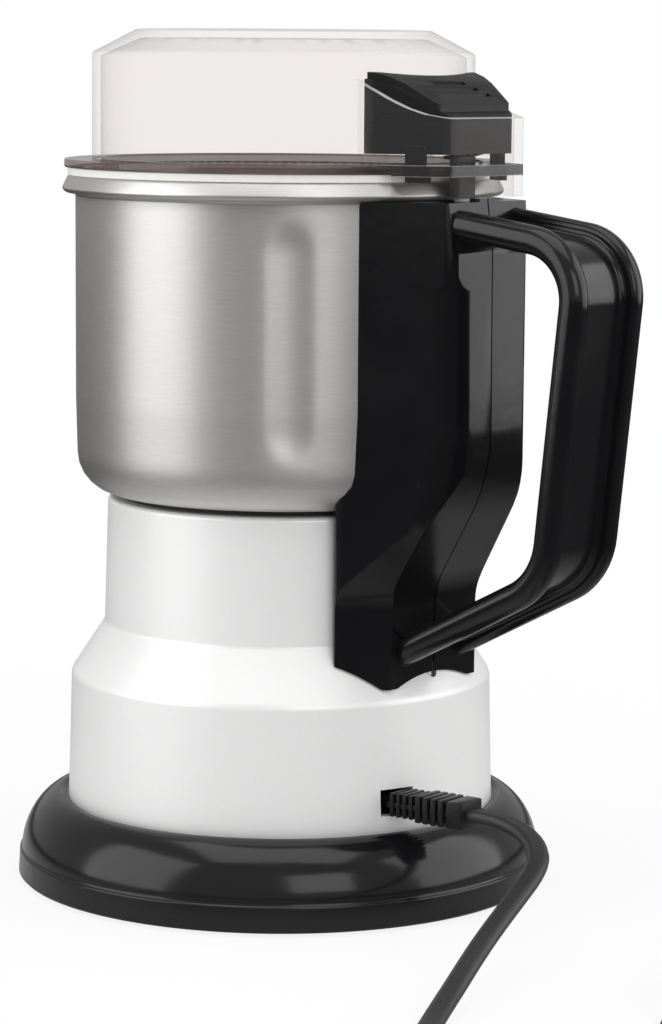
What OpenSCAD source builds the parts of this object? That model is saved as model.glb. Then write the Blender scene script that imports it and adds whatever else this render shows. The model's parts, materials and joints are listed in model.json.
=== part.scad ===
// Electric spice grinder: motor base, lift-off steel jar with handle, and clear lid with a press button.
// Millimetres, +Z up. The origin is on the standing plane, on the common axis of motor, jar and lid.
// The handle points along +X.

/* [Base] */
// Outer diameter of the base ring at the floor
base_d = 135; // [124:1:150]
// Height of the upright skirt of the base ring
skirt_h = 8; // [5:0.5:10]
// Height of the top of the ring's roll
roll_h = 21.8; // [20:0.2:24]
// Wall of the base ring
ring_wall = 2.4; // [1.8:0.1:3]
// Thickness of the bottom cover
plate_t = 2.2; // [1.6:0.1:3]
// Number of base screws, and of pegs on the rubber foot
foot_n = 4; // [3:1:6]
// Width of the ring-shaped rubber foot
foot_w = 7; // [5:0.5:9]
// Height of the foot below the skirt
foot_h = 0.9; // [0.6:0.1:1.5]

/* [Motor housing] */
// Diameter of the lower drum at its bottom edge
drum_d = 109.2; // [104:0.2:112]
// Diameter of the lower drum under the shoulder
drum_top_d = 107.4; // [102:0.2:110]
// Height at which the shoulder starts
shoulder_z = 53.4; // [50:0.2:55]
// Diameter of the neck at the shoulder
neck_d = 90.4; // [86:0.2:94]
// Height at which the neck starts
neck_z = 66.4; // [64:0.2:69]
// Diameter of the neck at the deck
neck_top_d = 88.6; // [85:0.2:92]
// Height of the deck that carries the jar
deck_z = 98.4; // [96:0.2:101]
// Wall of the housing
shell_t = 2.4; // [1.8:0.1:3]
// Diameter of the well for the coupling
well_d = 42; // [36:0.5:46]
// Depth of the well below the deck
well_depth = 18; // [16:0.2:20]

/* [Jar] */
// Outer diameter of the steel bowl
bowl_d = 104.8; // [100:0.2:108]
// Height of the bowl from its underside to its lip
bowl_h = 80.2; // [70:0.2:90]
// Sheet thickness of the bowl
sheet_t = 0.9; // [0.6:0.1:1.4]
// Outer radius of the bowl's lower corner
bowl_corner_r = 10; // [6:0.5:14]
// Widest diameter of the rolled lip
lip_d = 111.6; // [109:0.2:114]
// Height of the rolled lip
lip_h = 4.4; // [3:0.2:6]
// Angle of the side flutes from the handle
flute_angle = 46; // [42:1:60]
// Radius of a pressed flute
flute_r = 14; // [8:0.5:16]
// Depth of a pressed flute
flute_depth = 2; // [1:0.1:2.6]
// Thickness of the rubber ring under the bowl
seat_t = 1.2; // [0.8:0.1:2]

/* [Column and handle] */
// Distance of the column's outer face from the axis
column_x = 67.6; // [66:0.2:71]
// Half width of the column at its outer face
column_half_w = 13.6; // [12:0.2:15]
// Distance of the foot's outer face from the axis
foot_x = 51.2; // [50:0.2:53]
// Height of the underside of the foot
foot_z = 56.4; // [55:0.2:59]
// Reach of the handle strap's centre line from the axis, at the top
handle_x = 101.8; // [96:0.2:110]
// Height of the strap's upper corner
handle_top_z = 165.6; // [160:0.5:168]
// Height of the strap's lower corner
handle_low_z = 86.9; // [84:0.5:94]
// Width of the strap
strap_w = 28; // [22:0.5:30]
// Thickness of the strap
strap_t = 6.8; // [6:0.2:8]
// Width of each rail beside the channel along the strap's outer side
rail_w = 5.4; // [5.4:0.1:8]
// Depth of the channel
channel_depth = 3.6; // [3.4:0.1:4.2]

/* [Lid] */
// Outer diameter of the clear dome
dome_d = 96.4; // [92:0.2:98]
// Height of the dome's top above the bowl's lip
dome_h = 36.2; // [30:0.2:44]
// Diameter of the dome's flat top
dome_top_d = 74; // [60:1:84]
// Drop of the slope between top and wall
dome_slope_h = 5.8; // [4:0.2:8]
// Wall of the clear mouldings
lid_t = 2.2; // [1.6:0.1:2.6]
// Diameter of the flange
flange_d = 110.4; // [109:0.2:114]
// Thickness of the gasket under the flange
gasket_t = 1.8; // [1.2:0.1:2.4]
// Distance of the hood's outer face from the axis
hood_x = 66; // [64:0.2:68]
// Half width of the hood at its outer face
hood_half_w = 14.6; // [14:0.2:16]
// Travel of the press button
press_travel = 2.5; // [1.5:0.1:2.5]

/* [Motor and blade] */
// Radius of the motor shaft and of the blade shaft
shaft_r = 3; // [2.5:0.1:3.5]
// Radius of the armature core
armature_r = 14.8; // [13:0.1:16]
// Length of the laminated cores
core_len = 20; // [16:0.5:22]
// Radius of the commutator
commutator_r = 9.6; // [8:0.1:11]
// Radius of the cooling fan
fan_r = 26; // [22:0.5:30]
// Number of fan blades
fan_blades = 11; // [7:1:15]
// Reach of the cutting blade from the axis
blade_r = 40; // [34:0.5:44]
// Radius of both coupling halves
coupling_r = 12; // [10:0.5:14]

/* [Hidden] */
$fn = 96;

gap = 0.5;        // between pieces that move past each other
fit = 0.05;       // radial running clearance of a shaft in its bush

// Base
base_r = base_d / 2;
skirt_draft = 0.9;
roll_top_r = drum_d / 2 + 2.2;
ledge_z = 20.8;
ledge_r = drum_d / 2 + 0.9;
plate_z = foot_h + 0.8;
plate_r = base_r - ring_wall - skirt_draft - 0.4;
boss_r = 4.2;
boss_pcd_r = drum_top_d / 2 - shell_t - 7;
foot_pcd_r = base_r - 12;
screw_r = 1.7;
peg_r = 2.5;

// Housing
drum_r = drum_d / 2;
drum_top_r = drum_top_d / 2;
neck_r = neck_d / 2;
neck_top_r = neck_top_d / 2;
well_r = well_d / 2;
well_z = deck_z - well_depth;
well_under_z = well_z - shell_t;

// Jar
bowl_r = bowl_d / 2;
bowl_z = deck_z + seat_t;
lip_z = bowl_z + bowl_h;
bowl_floor_z = bowl_z + sheet_t;
lip_r = lip_d / 2;
column_top_z = lip_z - 4.6;
rod_x = 58;
rod_low_x = 48.4;
rod_r = 2;
rod_w = 4;
rod_tip_z = 61.9;
rod_top_z = column_top_z + 0.5;
rod_collar_z = 158;
rod_spring_z = 140;

// Lid
flange_z = lip_z + gasket_t;
flange_t = lid_t;
web_top_z = flange_z + flange_t;
dome_r = dome_d / 2;
dome_top_z = lip_z + dome_h;
dome_slope_z = dome_top_z - dome_slope_h;
hood_z = lip_z - 3.6;
hood_t = 1.8;
button_z = web_top_z + press_travel + 0.2;
leg_x = 56.4;
leg_y = 15.6;
leg_turn = 23.8;
plunger_x = 58.1;

// Motor, from the bottom up
fan_z = 10;
fan_h = 8;
lower_bracket_z = 22;
bracket_t = 2.6;
commutator_z = 28;
commutator_h = 9;
core_z = 42;
winding_h = 4.6;
upper_bracket_z = well_under_z - bracket_t;
upper_leg_z = core_z + core_len;
motor_screw_y = 25;
mount_screw_y = coupling_r + 4.5;
brush_z = commutator_z + commutator_h / 2;
coupling_z = well_z + 0.8;
coupling_disc_h = 3;
lug_h = 5;
driven_z = coupling_z + coupling_disc_h + lug_h + 0.4;
bush_under_z = driven_z + 4 + gap;
blade_z = bowl_floor_z + 5.8;
blade_t = 1.5;
shaft_end_h = 6.6;    // of the shaft's end above the blade's underside

// ---------------------------------------------------------------- outline helpers

function unit(v) = v / norm(v);

// The corner p between p0 and p1, turned into an arc of radius r.
function corner(p0, p, p1, r, n) =
    let (u = unit(p0 - p), v = unit(p1 - p), half = acos(u * v) / 2,
        c = p + unit(u + v) * r / sin(half), a = p + u * r / tan(half), b = p + v * r / tan(half),
        from = atan2(a.y - c.y, a.x - c.x), to = atan2(b.y - c.y, b.x - c.x),
        turn = (to - from + 540) % 360 - 180)
    [for (i = [0:n]) c + r * [cos(from + turn * i / n), sin(from + turn * i / n)]];

// An outline whose points are [x, y] or [x, y, corner radius].
function rounded(pts, n = 6) = let (m = len(pts)) [for (i = [0:m - 1])
    let (p = pts[i], q = [p.x, p.y], a = pts[(i + m - 1) % m], b = pts[(i + 1) % m])
    each (len(p) < 3 || p[2] == 0) ? [q] : corner([a.x, a.y], q, [b.x, b.y], p[2], n)];

// The same for an open line: its two ends stay as they are.
function rounded_line(pts, n = 6) = [for (i = [0:len(pts) - 1])
    let (p = pts[i], q = [p.x, p.y])
    each (i == 0 || i == len(pts) - 1 || len(p) < 3) ? [q] :
        corner([pts[i - 1].x, pts[i - 1].y], q, [pts[i + 1].x, pts[i + 1].y], p[2], n)];

function mix(a, b, t) = a + (b - a) * t;

// Value at z on a falling or rising straight line through two points.
function on_line(z, z0, v0, z1, v1) = mix(v0, v1, (z - z0) / (z1 - z0));

module ring(r_out, r_in, h) {
    difference() {
        cylinder(r = r_out, h = h);
        translate([0, 0, -1]) cylinder(r = r_in, h = h + 2);
    }
}

module revolve(pts) rotate_extrude() polygon(pts);

// A side outline, drawn as [x, z], made w thick along Y and centred on it.
module slab(pts, w) translate([0, w / 2, 0]) rotate([90, 0, 0]) linear_extrude(w) polygon(pts);

module block(low, high) translate(low) cube(high - low);

// Skin over a list of closed rings of 3D points, with flat ends.
module skin(rings) {
    n = len(rings[0]);
    m = len(rings);
    polyhedron(points = [for (r = rings) each r],
        faces = concat([[for (j = [n - 1:-1:0]) j]],
            [for (i = [0:m - 2], j = [0:n - 1])
                let (a = i * n + j, b = i * n + (j + 1) % n) each [[a, b, b + n], [a, b + n, a + n]]],
            [[for (j = [0:n - 1]) (m - 1) * n + j]]));
}

// Sections [side, up] carried along a route of 3D points.
function along(route, section, up = [0, 0, 1]) = let (m = len(route)) [for (i = [0:m - 1])
    let (t = unit(route[min(i + 1, m - 1)] - route[max(i - 1, 0)]), s = unit(cross(t, up)), n = cross(s, t))
    [for (q = section) route[i] + s * q[0] + n * q[1]]];

function circle_section(r, n = 8) = [for (j = [0:n - 1]) r * [cos(360 * j / n), sin(360 * j / n)]];

// Points of a soft curve through a route, with k steps between neighbours.
function smooth(pts, k) = let (m = len(pts)) concat([for (i = [0:m - 2], j = [0:k - 1])
    let (t = j / k, a = pts[max(i - 1, 0)], b = pts[i], c = pts[i + 1], d = pts[min(i + 2, m - 1)])
    0.5 * (2 * b + (c - a) * t + (2 * a - 5 * b + 4 * c - d) * t * t
        + (3 * b - a - 3 * c + d) * t * t * t)], [pts[m - 1]]);

module coil_spring(r, h, turns, wire_r, steps = 10) {
    n = turns * steps;
    skin([for (i = [0:n])
        let (a = 360 * i / steps, z = mix(wire_r, h - wire_r, i / n))
        [for (j = [0:5]) let (b = 60 * j)
            [(r + wire_r * cos(b)) * cos(a), (r + wire_r * cos(b)) * sin(a), z + wire_r * sin(b)]]]);
}

// A countersunk-pan screw along +Z with its head's underside at z = 0.
module screw(r, len, head_r, head_h) {
    translate([0, 0, -len]) cylinder(r = r, h = len);
    difference() {
        cylinder(r = head_r, h = head_h);
        for (a = [0, 90]) rotate(a)
            block([-head_r * 0.6, -0.4, head_h - 0.8], [head_r * 0.6, 0.4, head_h + 1]);
    }
}

// ---------------------------------------------------------------- base

// Outer or inner line of the ring's roll, from the skirt to the top, moved in by t.
function roll(t, n = 10) = let (r0 = base_r - skirt_draft - t, r1 = roll_top_r)
    [for (i = [0:n]) let (a = 90 * i / n)
        [mix(r1, r0, pow(cos(a), 1.15)), mix(skirt_h, roll_h - t, pow(sin(a), 1.15))]];

module base_ring() color("#141416") revolve(concat(
    [[base_r - ring_wall, foot_h], [base_r - 0.6, foot_h], [base_r, foot_h + 0.6]],
    roll(0),
    [[ledge_r, ledge_z], [drum_r - shell_t - 0.2, ledge_z], [drum_r - shell_t - 0.2, ledge_z + 2.6],
        [drum_r - shell_t - 2.2, ledge_z + 2.6], [drum_r - shell_t - 2.2, ledge_z - 2.6]],
    [for (i = [10:-1:0]) roll(ring_wall)[i] - [0, i == 10 ? 0.4 : 0]]));

// Positions of a ring of n things at radius r, half a step off the handle's line.
module around(n, r) for (i = [0:n - 1]) rotate(360 * (i + 0.5) / n) translate([r, 0, 0]) children();

module base_plate() color("#1b1b1d") difference() {
    union() {
        translate([0, 0, plate_z]) cylinder(r = plate_r, h = plate_t);
        around(foot_n, boss_pcd_r) translate([0, 0, plate_z]) cylinder(r = 6, h = plate_t + 1.6);
        // Low walls that steer the cooling air round the fan
        translate([0, 0, plate_z]) ring(fan_r + 4, fan_r + 2.4, plate_t + 4);
    }
    around(foot_n, boss_pcd_r) {
        translate([0, 0, plate_z - 1]) cylinder(r = screw_r + 0.2, h = 9);
        translate([0, 0, plate_z - 1]) cylinder(r = 3.6, h = 3);
    }
    around(foot_n, foot_pcd_r) translate([0, 0, plate_z - 1]) cylinder(r = peg_r, h = 9);
    // Air slots under the fan, in three rows
    for (row = [0:2], i = [0:2 * row + 6]) rotate(360 * i / (2 * row + 7))
        translate([8 + 7 * row, 0, plate_z - 1]) linear_extrude(9)
            polygon(rounded([[-1.2, -2.6, 1], [1.2, -2.6, 1], [1.2, 2.6, 1], [-1.2, 2.6, 1]], 3));
}

// One ring that the grinder stands on, with pegs pulled through the bottom cover
module rubber_foot() color("#2a2a2c") {
    rotate_extrude() polygon([[foot_pcd_r - foot_w / 2, 0], [foot_pcd_r + foot_w / 2, 0],
        [foot_pcd_r + foot_w / 2 - 0.4, plate_z], [foot_pcd_r - foot_w / 2 + 0.4, plate_z]]);
    around(foot_n, foot_pcd_r) rotate_extrude() polygon([[0, plate_z - 0.5], [peg_r, plate_z - 0.5],
        [peg_r, plate_z + plate_t], [peg_r + 0.7, plate_z + plate_t], [peg_r, plate_z + plate_t + 2],
        [0, plate_z + plate_t + 2]]);
}

module base_screws() color("#b9bcc0") around(foot_n, boss_pcd_r)
    translate([0, 0, plate_z + 2]) mirror([0, 0, 1]) screw(screw_r, 22, 3.2, 1.8);

// ---------------------------------------------------------------- motor housing

relief_root_angle = -16;
relief_dir = 4;
relief_z = 28.7;
relief_w = 9;
relief_h = 6.6;
relief_len = 22;
relief_flange_t = 3.4;
relief_root = (drum_r - 0.2) * [cos(relief_root_angle), sin(relief_root_angle)];

module at_relief() translate([relief_root.x, relief_root.y, relief_z]) rotate(relief_dir) children();

// Outer line of the housing, from the drum's bottom to the deck, moved out by t.
function housing_side(t = 0) = [[drum_r + t, ledge_z], [drum_top_r + t, shoulder_z + t * 0.3, 3.6],
    [neck_r + t, neck_z + t * 0.6, 2], [neck_top_r + t, deck_z + t, 1.2 + t]];

// Radius of the neck's outer wall at a height between shoulder and deck.

module housing_shell() revolve(rounded(concat(housing_side(), [
    [well_r, deck_z, 0.8], [well_r, well_z, 1.5], [shaft_r + 2.2, well_z], [shaft_r + 2.2, well_under_z],
    [well_r + shell_t, well_under_z, 1.5], [well_r + shell_t, deck_z - shell_t],
    [neck_top_r - shell_t, deck_z - shell_t, 1], [neck_r - shell_t, neck_z - 0.8, 2],
    [drum_top_r - shell_t, shoulder_z - 1.2, 2], [drum_r - shell_t, ledge_z]])));

switch_top_z = 50;
switch_x = 46.6;

module motor_housing() color("#dcdedd") difference() {
    union() {
        housing_shell();
        // Screw bosses, each with a rib to the wall
        intersection() {
            around(foot_n, boss_pcd_r) {
                translate([0, 0, plate_z + plate_t + 1.6]) cylinder(r = boss_r, h = 38);
                translate([0, -1, ledge_z + 6]) cube([9, 2, 38 - ledge_z]);
            }
            cylinder(r = drum_top_r - 0.6, h = shoulder_z - 2);
        }
        // Ribs that carry the switch
        for (y = [-7.5, 7.5]) block([switch_x + 3.2, y - 1.6, 40], [drum_r - 1.6, y + 1.6, switch_top_z]);
    }
    around(foot_n, boss_pcd_r) cylinder(r = screw_r, h = plate_z + 26);
    // Port for the switch pin, in the shoulder
    translate([rod_low_x, 0, switch_top_z]) cylinder(r = 2.6, h = 20);
    // Port for the strain relief, in the drum's wall
    at_relief() block([-8, -relief_w / 2, -relief_h / 2], [6, relief_w / 2, relief_h / 2]);
    for (side = [-1, 1]) translate([0, side * mount_screw_y, well_under_z - 1]) cylinder(r = 1.6, h = 6);
    for (y = [-7.5, 7.5]) translate([switch_x, y, switch_top_z - 5]) rotate([0, 90, 0])
        cylinder(r = 1, h = 5.6);
}

module seat_ring() color("#101012") translate([0, 0, deck_z]) ring(neck_top_r - 3.6, neck_top_r - 9, seat_t);

// ---------------------------------------------------------------- motor

module motor_shaft() color("#c9ccd0") translate([0, 0, fan_z - 1])
    cylinder(r = shaft_r, h = coupling_z + coupling_disc_h - fan_z + 1);

module armature_core() color("#8f9296") difference() {
    translate([0, 0, core_z]) cylinder(r = armature_r, h = core_len);
    translate([0, 0, core_z - 1]) cylinder(r = shaft_r, h = core_len + 2);
    for (i = [0:11]) rotate(30 * i) translate([armature_r - 4.5, -1, core_z - 1]) cube([6, 2, core_len + 2]);
}

// Wire in the slots and the two end windings
module armature_winding() color("#b4652e") difference() {
    union() {
        for (z = [core_z - winding_h, core_z + core_len]) translate([0, 0, z])
            cylinder(r = armature_r - 1.6, h = winding_h);
        for (i = [0:11]) rotate(30 * i) translate([armature_r - 4.5, -1, core_z]) cube([3.4, 2, core_len]);
    }
    translate([0, 0, core_z - winding_h - 1]) cylinder(r = shaft_r, h = core_len + 2 * winding_h + 2);
}

module commutator() color("#c77b45") difference() {
    union() {
        translate([0, 0, commutator_z]) cylinder(r = commutator_r, h = commutator_h - 1.4);
        translate([0, 0, commutator_z + commutator_h - 1.4]) cylinder(r = commutator_r + 0.9, h = 1.4);
    }
    translate([0, 0, commutator_z - 1]) cylinder(r = shaft_r, h = commutator_h + 2);
    for (i = [0:11]) rotate(30 * i + 15) translate([commutator_r - 1.2, -0.25, commutator_z - 1])
        cube([4, 0.5, commutator_h + 2]);
}

module cooling_fan() color("#f0efe8") difference() {
    union() {
        translate([0, 0, fan_z + fan_h - 1.4]) cylinder(r = fan_r, h = 1.4);
        translate([0, 0, fan_z]) cylinder(r = 7, h = fan_h);
        for (i = [0:fan_blades - 1]) rotate(360 * i / fan_blades) translate([6, 0, fan_z]) rotate(14)
            cube([fan_r - 7, 1.3, fan_h - 1]);
    }
    translate([0, 0, fan_z - 1]) cylinder(r = shaft_r, h = fan_h + 2);
}

// Three dogs of a coupling half, from z = 0 up
module dogs(h) for (i = [0:2]) rotate(120 * i) intersection() {
    ring(coupling_r - 0.6, 6.4, h);
    translate([0, -2.5, 0]) cube([coupling_r, 5, h]);
}

module drive_coupling() color("#202124") translate([0, 0, coupling_z]) {
    ring(coupling_r, shaft_r, coupling_disc_h);
    translate([0, 0, coupling_disc_h - 0.01]) dogs(lug_h);
}

module stator_core() color("#9a9da1") translate([0, 0, core_z]) difference() {
    linear_extrude(core_len) polygon(rounded([[-27, -32, 12], [27, -32, 12], [27, 32, 12], [-27, 32, 12]]));
    translate([0, 0, -1]) cylinder(r = armature_r + 0.6, h = core_len + 2);
    // Coil windows above and below each pole face
    for (a = [0, 180], side = [-1, 1]) rotate(a)
        translate([12, side * 15.5 - 3.2, -1]) cube([8.4, 6.4, core_len + 2]);
    for (side = [-1, 1]) translate([0, side * motor_screw_y, -1]) cylinder(r = 2.1, h = core_len + 2);
}

// Two wound loops, one round each pole
module field_coils() color("#a85a28") for (a = [0, 180]) rotate(a) difference() {
    block([12.3, -18.4, core_z - 3.6], [20.1, 18.4, core_z + core_len + 3.6]);
    block([11, -12.6, core_z], [22, 12.6, core_z + core_len]);
    translate([0, 0, core_z - 5]) cylinder(r = armature_r + 1.4, h = core_len + 10);
}

// A bearing plate across the motor, with a pocket and two legs to the stator
module bracket(z, half, pocket_z, leg_z, leg_h, shaft_hole) difference() {
    union() {
        translate([0, 0, z]) linear_extrude(bracket_t)
            polygon(rounded([[-half, -31, 7], [half, -31, 7], [half, 31, 7], [-half, 31, 7]]));
        translate([0, 0, pocket_z]) cylinder(r = 8.6, h = 5);
        for (side = [-1, 1]) translate([0, side * motor_screw_y, leg_z]) cylinder(r = 4.4, h = leg_h);
    }
    translate([0, 0, pocket_z - 1]) cylinder(r = 6, h = 5 + bracket_t + 2);
    for (side = [-1, 1]) translate([0, side * motor_screw_y, min(z, leg_z) - 1])
        cylinder(r = 2, h = leg_h + bracket_t + 2);
    if (shaft_hole > 0) for (side = [-1, 1]) translate([0, side * shaft_hole, z - 1])
        cylinder(r = 1.5, h = bracket_t + 2);
}

module upper_bracket() color("#aeb1b5")
    bracket(upper_bracket_z, 9, upper_bracket_z - 4, upper_leg_z, upper_bracket_z - upper_leg_z,
        mount_screw_y);

module lower_bracket() color("#aeb1b5")
    bracket(lower_bracket_z, 28, lower_bracket_z - 1.4, lower_bracket_z + bracket_t,
        core_z - lower_bracket_z - bracket_t, 0);

module upper_bearing() color("#b08d4a") translate([0, 0, upper_bracket_z - 4]) ring(6, shaft_r + fit, 5.6);
module lower_bearing() color("#b08d4a") translate([0, 0, lower_bracket_z - 1.4]) ring(6, shaft_r + fit, 4.8);

// Two insulating blocks on the lower bracket, each with a square way for its brush
module brush_holders() color("#3a2a22") for (a = [0, 180]) rotate(a) difference() {
    block([commutator_r + 2.6, -5.5, lower_bracket_z + bracket_t], [27, 5.5, brush_z + 4.5]);
    block([commutator_r, -3.2, brush_z - 2.6], [25.4, 3.2, brush_z + 2.6]);
}

module carbon_brushes() color("#2d2e30") for (a = [0, 180]) rotate(a) difference() {
    block([commutator_r - 1, -3, brush_z - 2.4], [18.6, 3, brush_z + 2.4]);
    translate([0, 0, brush_z - 4]) cylinder(r = commutator_r + 0.1, h = 8);
}

module brush_springs() color("#c9ccd0") for (a = [0, 180]) rotate(a)
    translate([18.7, 0, brush_z]) rotate([0, 90, 0]) coil_spring(1.7, 6.6, 4, 0.3, 8);

// Long screws that hold bracket, stator and bracket together, and the nuts at their ends
module motor_screws() color("#b9bcc0") for (side = [-1, 1]) translate([0, side * motor_screw_y, 0]) {
    translate([0, 0, lower_bracket_z - 2]) cylinder(r = 3.4, h = 2);
    translate([0, 0, lower_bracket_z - 0.1])
        cylinder(r = 1.9, h = upper_bracket_z + bracket_t - 0.6 - lower_bracket_z);
}

module mount_screws() color("#b9bcc0") for (side = [-1, 1])
    translate([0, side * mount_screw_y, well_z]) screw(1.5, shell_t + bracket_t - 0.2, 2.8, 1.8);

// ---------------------------------------------------------------- switch and leads

module microswitch() color("#3b3c40") difference() {
    union() {
        block([switch_x - 3.2, -10, switch_top_z - 10.4], [switch_x + 3.2, 10, switch_top_z]);
        for (y = [-6.5, 0, 6.5])
            block([switch_x - 0.3, y - 1.6, switch_top_z - 14], [switch_x + 0.3, y + 1.6, 40]);
    }
    for (y = [-7.5, 7.5]) translate([switch_x - 4, y, switch_top_z - 5]) rotate([0, 90, 0])
        cylinder(r = 1.1, h = 8);
}

module switch_screws() color("#b9bcc0") for (y = [-7.5, 7.5])
    translate([switch_x - 3.2, y, switch_top_z - 5]) rotate([0, -90, 0]) screw(0.95, 8.4, 1.9, 1.2);

// Pin between the rod in the handle column and the switch
module switch_pin() color("#e8e6df") translate([rod_low_x, 0, switch_top_z + press_travel + 0.2])
    rotate_extrude() polygon([[0, 0], [1.7, 0], [1.7, 0.8], [1.4, 0.8], [1.4, 8.4], [1.1, 8.7], [0, 8.7]]);

lead_r = 0.9;
lead_routes = [
    [[43.9, -17.6, 30], [42, -16, 32], [41, -12, 33.4], [43, -9, 33.8], [45.6, -7.2, 34], [46.6, -6.5, 35.1]],
    [[43.9, -16.6, 27.2], [40, -13, 27], [35, -8, 28.4], [31, -3, 30.4], [27.8, 0, 32.4]],
    [[46.6, 6.5, 34.9], [44.6, 9, 35], [40, 12, 37], [35, 14, 42], [29.6, 15, 48], [27.8, 15, 49.6]]];

module inner_leads() color("#8a2d22") for (route = lead_routes)
    skin(along(smooth(route, 2), circle_section(lead_r), [0.3, 0.2, 1]));

// ---------------------------------------------------------------- cord

cord_w = 5.4;
cord_t = 3.2;

// Chosen by hand: out of the strain relief, down in a wide bend to the table, and round to the coil
cord_route = [[74.2, -13.5, 28.7], [78.6, -13.2, 28.7], [83.2, -13.1, 28.4], [90.2, -14.2, 27.2],
    [96.4, -17.4, 25.5], [101.2, -22.2, 23.4], [104, -28.4, 21], [105.8, -36, 18], [107.4, -44, 14.8],
    [109.2, -52, 11.6], [111.4, -60, 8.5], [114, -68, 5.7], [117, -76, 3.6], [120.6, -84, 2.3],
    [124.6, -91.4, 1.7], [130.6, -98.4, 1.7], [138.8, -103.4, 1.7], [148.2, -105.2, 1.7],
    [157.4, -103.4, 1.7], [165.3, -98.3, 1.7], [170.7, -90.6, 1.7], [172.8, -81.5, 1.7],
    [171.3, -72.2, 1.7], [162.6, -55.4, 1.7], [153.8, -38.6, 1.7], [147.4, -26.2, 1.7]];

// Rounded flat section of a two-core lead
flat_section = [for (j = [0:9]) let (a = 36 * j + 18)
    [(cord_w - cord_t) / 2 * sign(cos(a)) + cord_t / 2 * cos(a), cord_t / 2 * sin(a)]];

coil_centre = [172, -8];
coil_r = 27.5;
coil_lift = 0.1;

module supply_cord() color("#1c1c1e") skin(along(cord_route, flat_section));

// Two turns side by side in two layers, and one more turn on the outer ones
module cord_coil() color("#1c1c1e") translate([coil_centre.x, coil_centre.y, coil_lift]) rotate_extrude()
    polygon(rounded([[coil_r - cord_w - coil_lift, 0, 1], [coil_r + cord_w + coil_lift, 0, 1],
        [coil_r + cord_w + coil_lift, 3 * cord_t, 1], [coil_r, 3 * cord_t, 1], [coil_r, 2 * cord_t],
        [coil_r - cord_w - coil_lift, 2 * cord_t, 1]], 3));

// The top turn leaves the coil on its outer side and ends in the plug beside it
tail_route = [[195.1, 11.4, 8.1], [198.2, 7.1, 8.1], [200.4, 2.3, 8.1], [202.8, -5, 7.9],
    [204.5, -12.8, 7.2], [205.4, -21, 6.5], [205.4, -29, 6.5]];

module cord_tail() color("#1c1c1e") skin(along(tail_route, flat_section));

// Moulded strain relief with grip ribs, wider past its fourth rib, and a block at its end
module strain_relief() color("#17171a") {
    translate([relief_root.x, relief_root.y, relief_z]) rotate(relief_root_angle)
        block([-relief_flange_t - shell_t, -relief_w / 2 - 2.1, -relief_h / 2 - 1.4],
            [-shell_t - 0.7, relief_w / 2 + 2.1, relief_h / 2 + 1.4]);
    at_relief() {
        block([-8, -relief_w / 2 + 0.3, -relief_h / 2 + 0.3], [5, relief_w / 2 - 0.3, relief_h / 2 - 0.3]);
        block([0, -1.6, -1.6], [relief_len - 1, 1.6, 1.6]);
        for (x = [1:1.9:7]) block([x, -relief_w / 2 + 0.6, -relief_h / 2 + 0.4],
            [x + 1, relief_w / 2 - 0.6, relief_h / 2 - 0.4]);
        for (x = [8.4:2.1:16]) block([x, -relief_w / 2, -relief_h / 2],
            [x + 1.3, relief_w / 2, relief_h / 2]);
        for (side = [-1, 1]) block([1, side * relief_w / 4 - 1.4, -0.6],
            [relief_len - 1, side * relief_w / 4 + 1.4, 0.6]);
        block([relief_len - 4.6, -relief_w / 2, -relief_h / 2], [relief_len, relief_w / 2, relief_h / 2]);
    }
}

plug_at = tail_route[len(tail_route) - 1];
plug_dir = -90;
module at_plug() translate(plug_at) rotate(plug_dir) children();

// Flat two-pin plug with a ribbed neck
module plug_body() color("#1c1c1e") at_plug() intersection() {
    union() {
        for (x = [0:2.2:9]) block([x, -4.2, -3.4], [x + 1.3, 4.2, 3.4]);
        block([0, -3.2, -2.4], [13, 3.2, 2.4]);
        translate([0, 0, -6.5]) linear_extrude(13) polygon(rounded([[11, -6, 3], [22, -9.5, 4],
            [40, -12.6, 3], [46, -12.6, 1.5], [46, 12.6, 1.5], [40, 12.6, 3], [22, 9.5, 4], [11, 6, 3]], 4));
    }
    translate([0, 15, 0]) rotate([90, 0, 0]) linear_extrude(30) polygon(rounded([[-1, -4, 1], [12, -4.6, 3],
        [30, -6.4, 6], [47, -6.4, 2], [47, 6.4, 2], [30, 6.4, 6], [12, 4.6, 3], [-1, 4, 1]], 3));
}

module plug_pins() color("#c9ccd0") at_plug() for (side = [-1, 1])
    translate([46, side * 9.3, 0]) rotate([0, 90, 0]) rotate_extrude()
        polygon([[0, 0], [2, 0], [2, 18], [1.2, 19], [0, 19]]);

// ---------------------------------------------------------------- jar

function bowl_outline() = [[8.2, bowl_z], [bowl_r - 0.6, bowl_z, bowl_corner_r], [bowl_r, bowl_z + 24],
    [bowl_r, lip_z - lip_h - 0.4, 0.6], [lip_r - 0.8, lip_z - lip_h, 0.5], [lip_r, lip_z - lip_h + 1, 0.4],
    [lip_r - 1.6, lip_z, 0.8], [bowl_r - sheet_t, lip_z, 0.8], [bowl_r - sheet_t, bowl_z + 24],
    [bowl_r - 0.6 - sheet_t, bowl_floor_z, bowl_corner_r - sheet_t], [8.2, bowl_floor_z]];

flute_low_z = bowl_z + 20.4;
flute_high_z = lip_z - 17;
flute_angles = [-flute_angle, flute_angle, 180];

// An upright rod with round ends, pressed into the wall by the flute's depth
module flute(extra) for (a = flute_angles) rotate(a) translate([bowl_r + flute_r - flute_depth, 0, 0]) {
    translate([0, 0, flute_low_z]) cylinder(r = flute_r + extra, h = flute_high_z - flute_low_z);
    for (z = [flute_low_z, flute_high_z]) translate([0, 0, z]) sphere(r = flute_r + extra);
}

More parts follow.
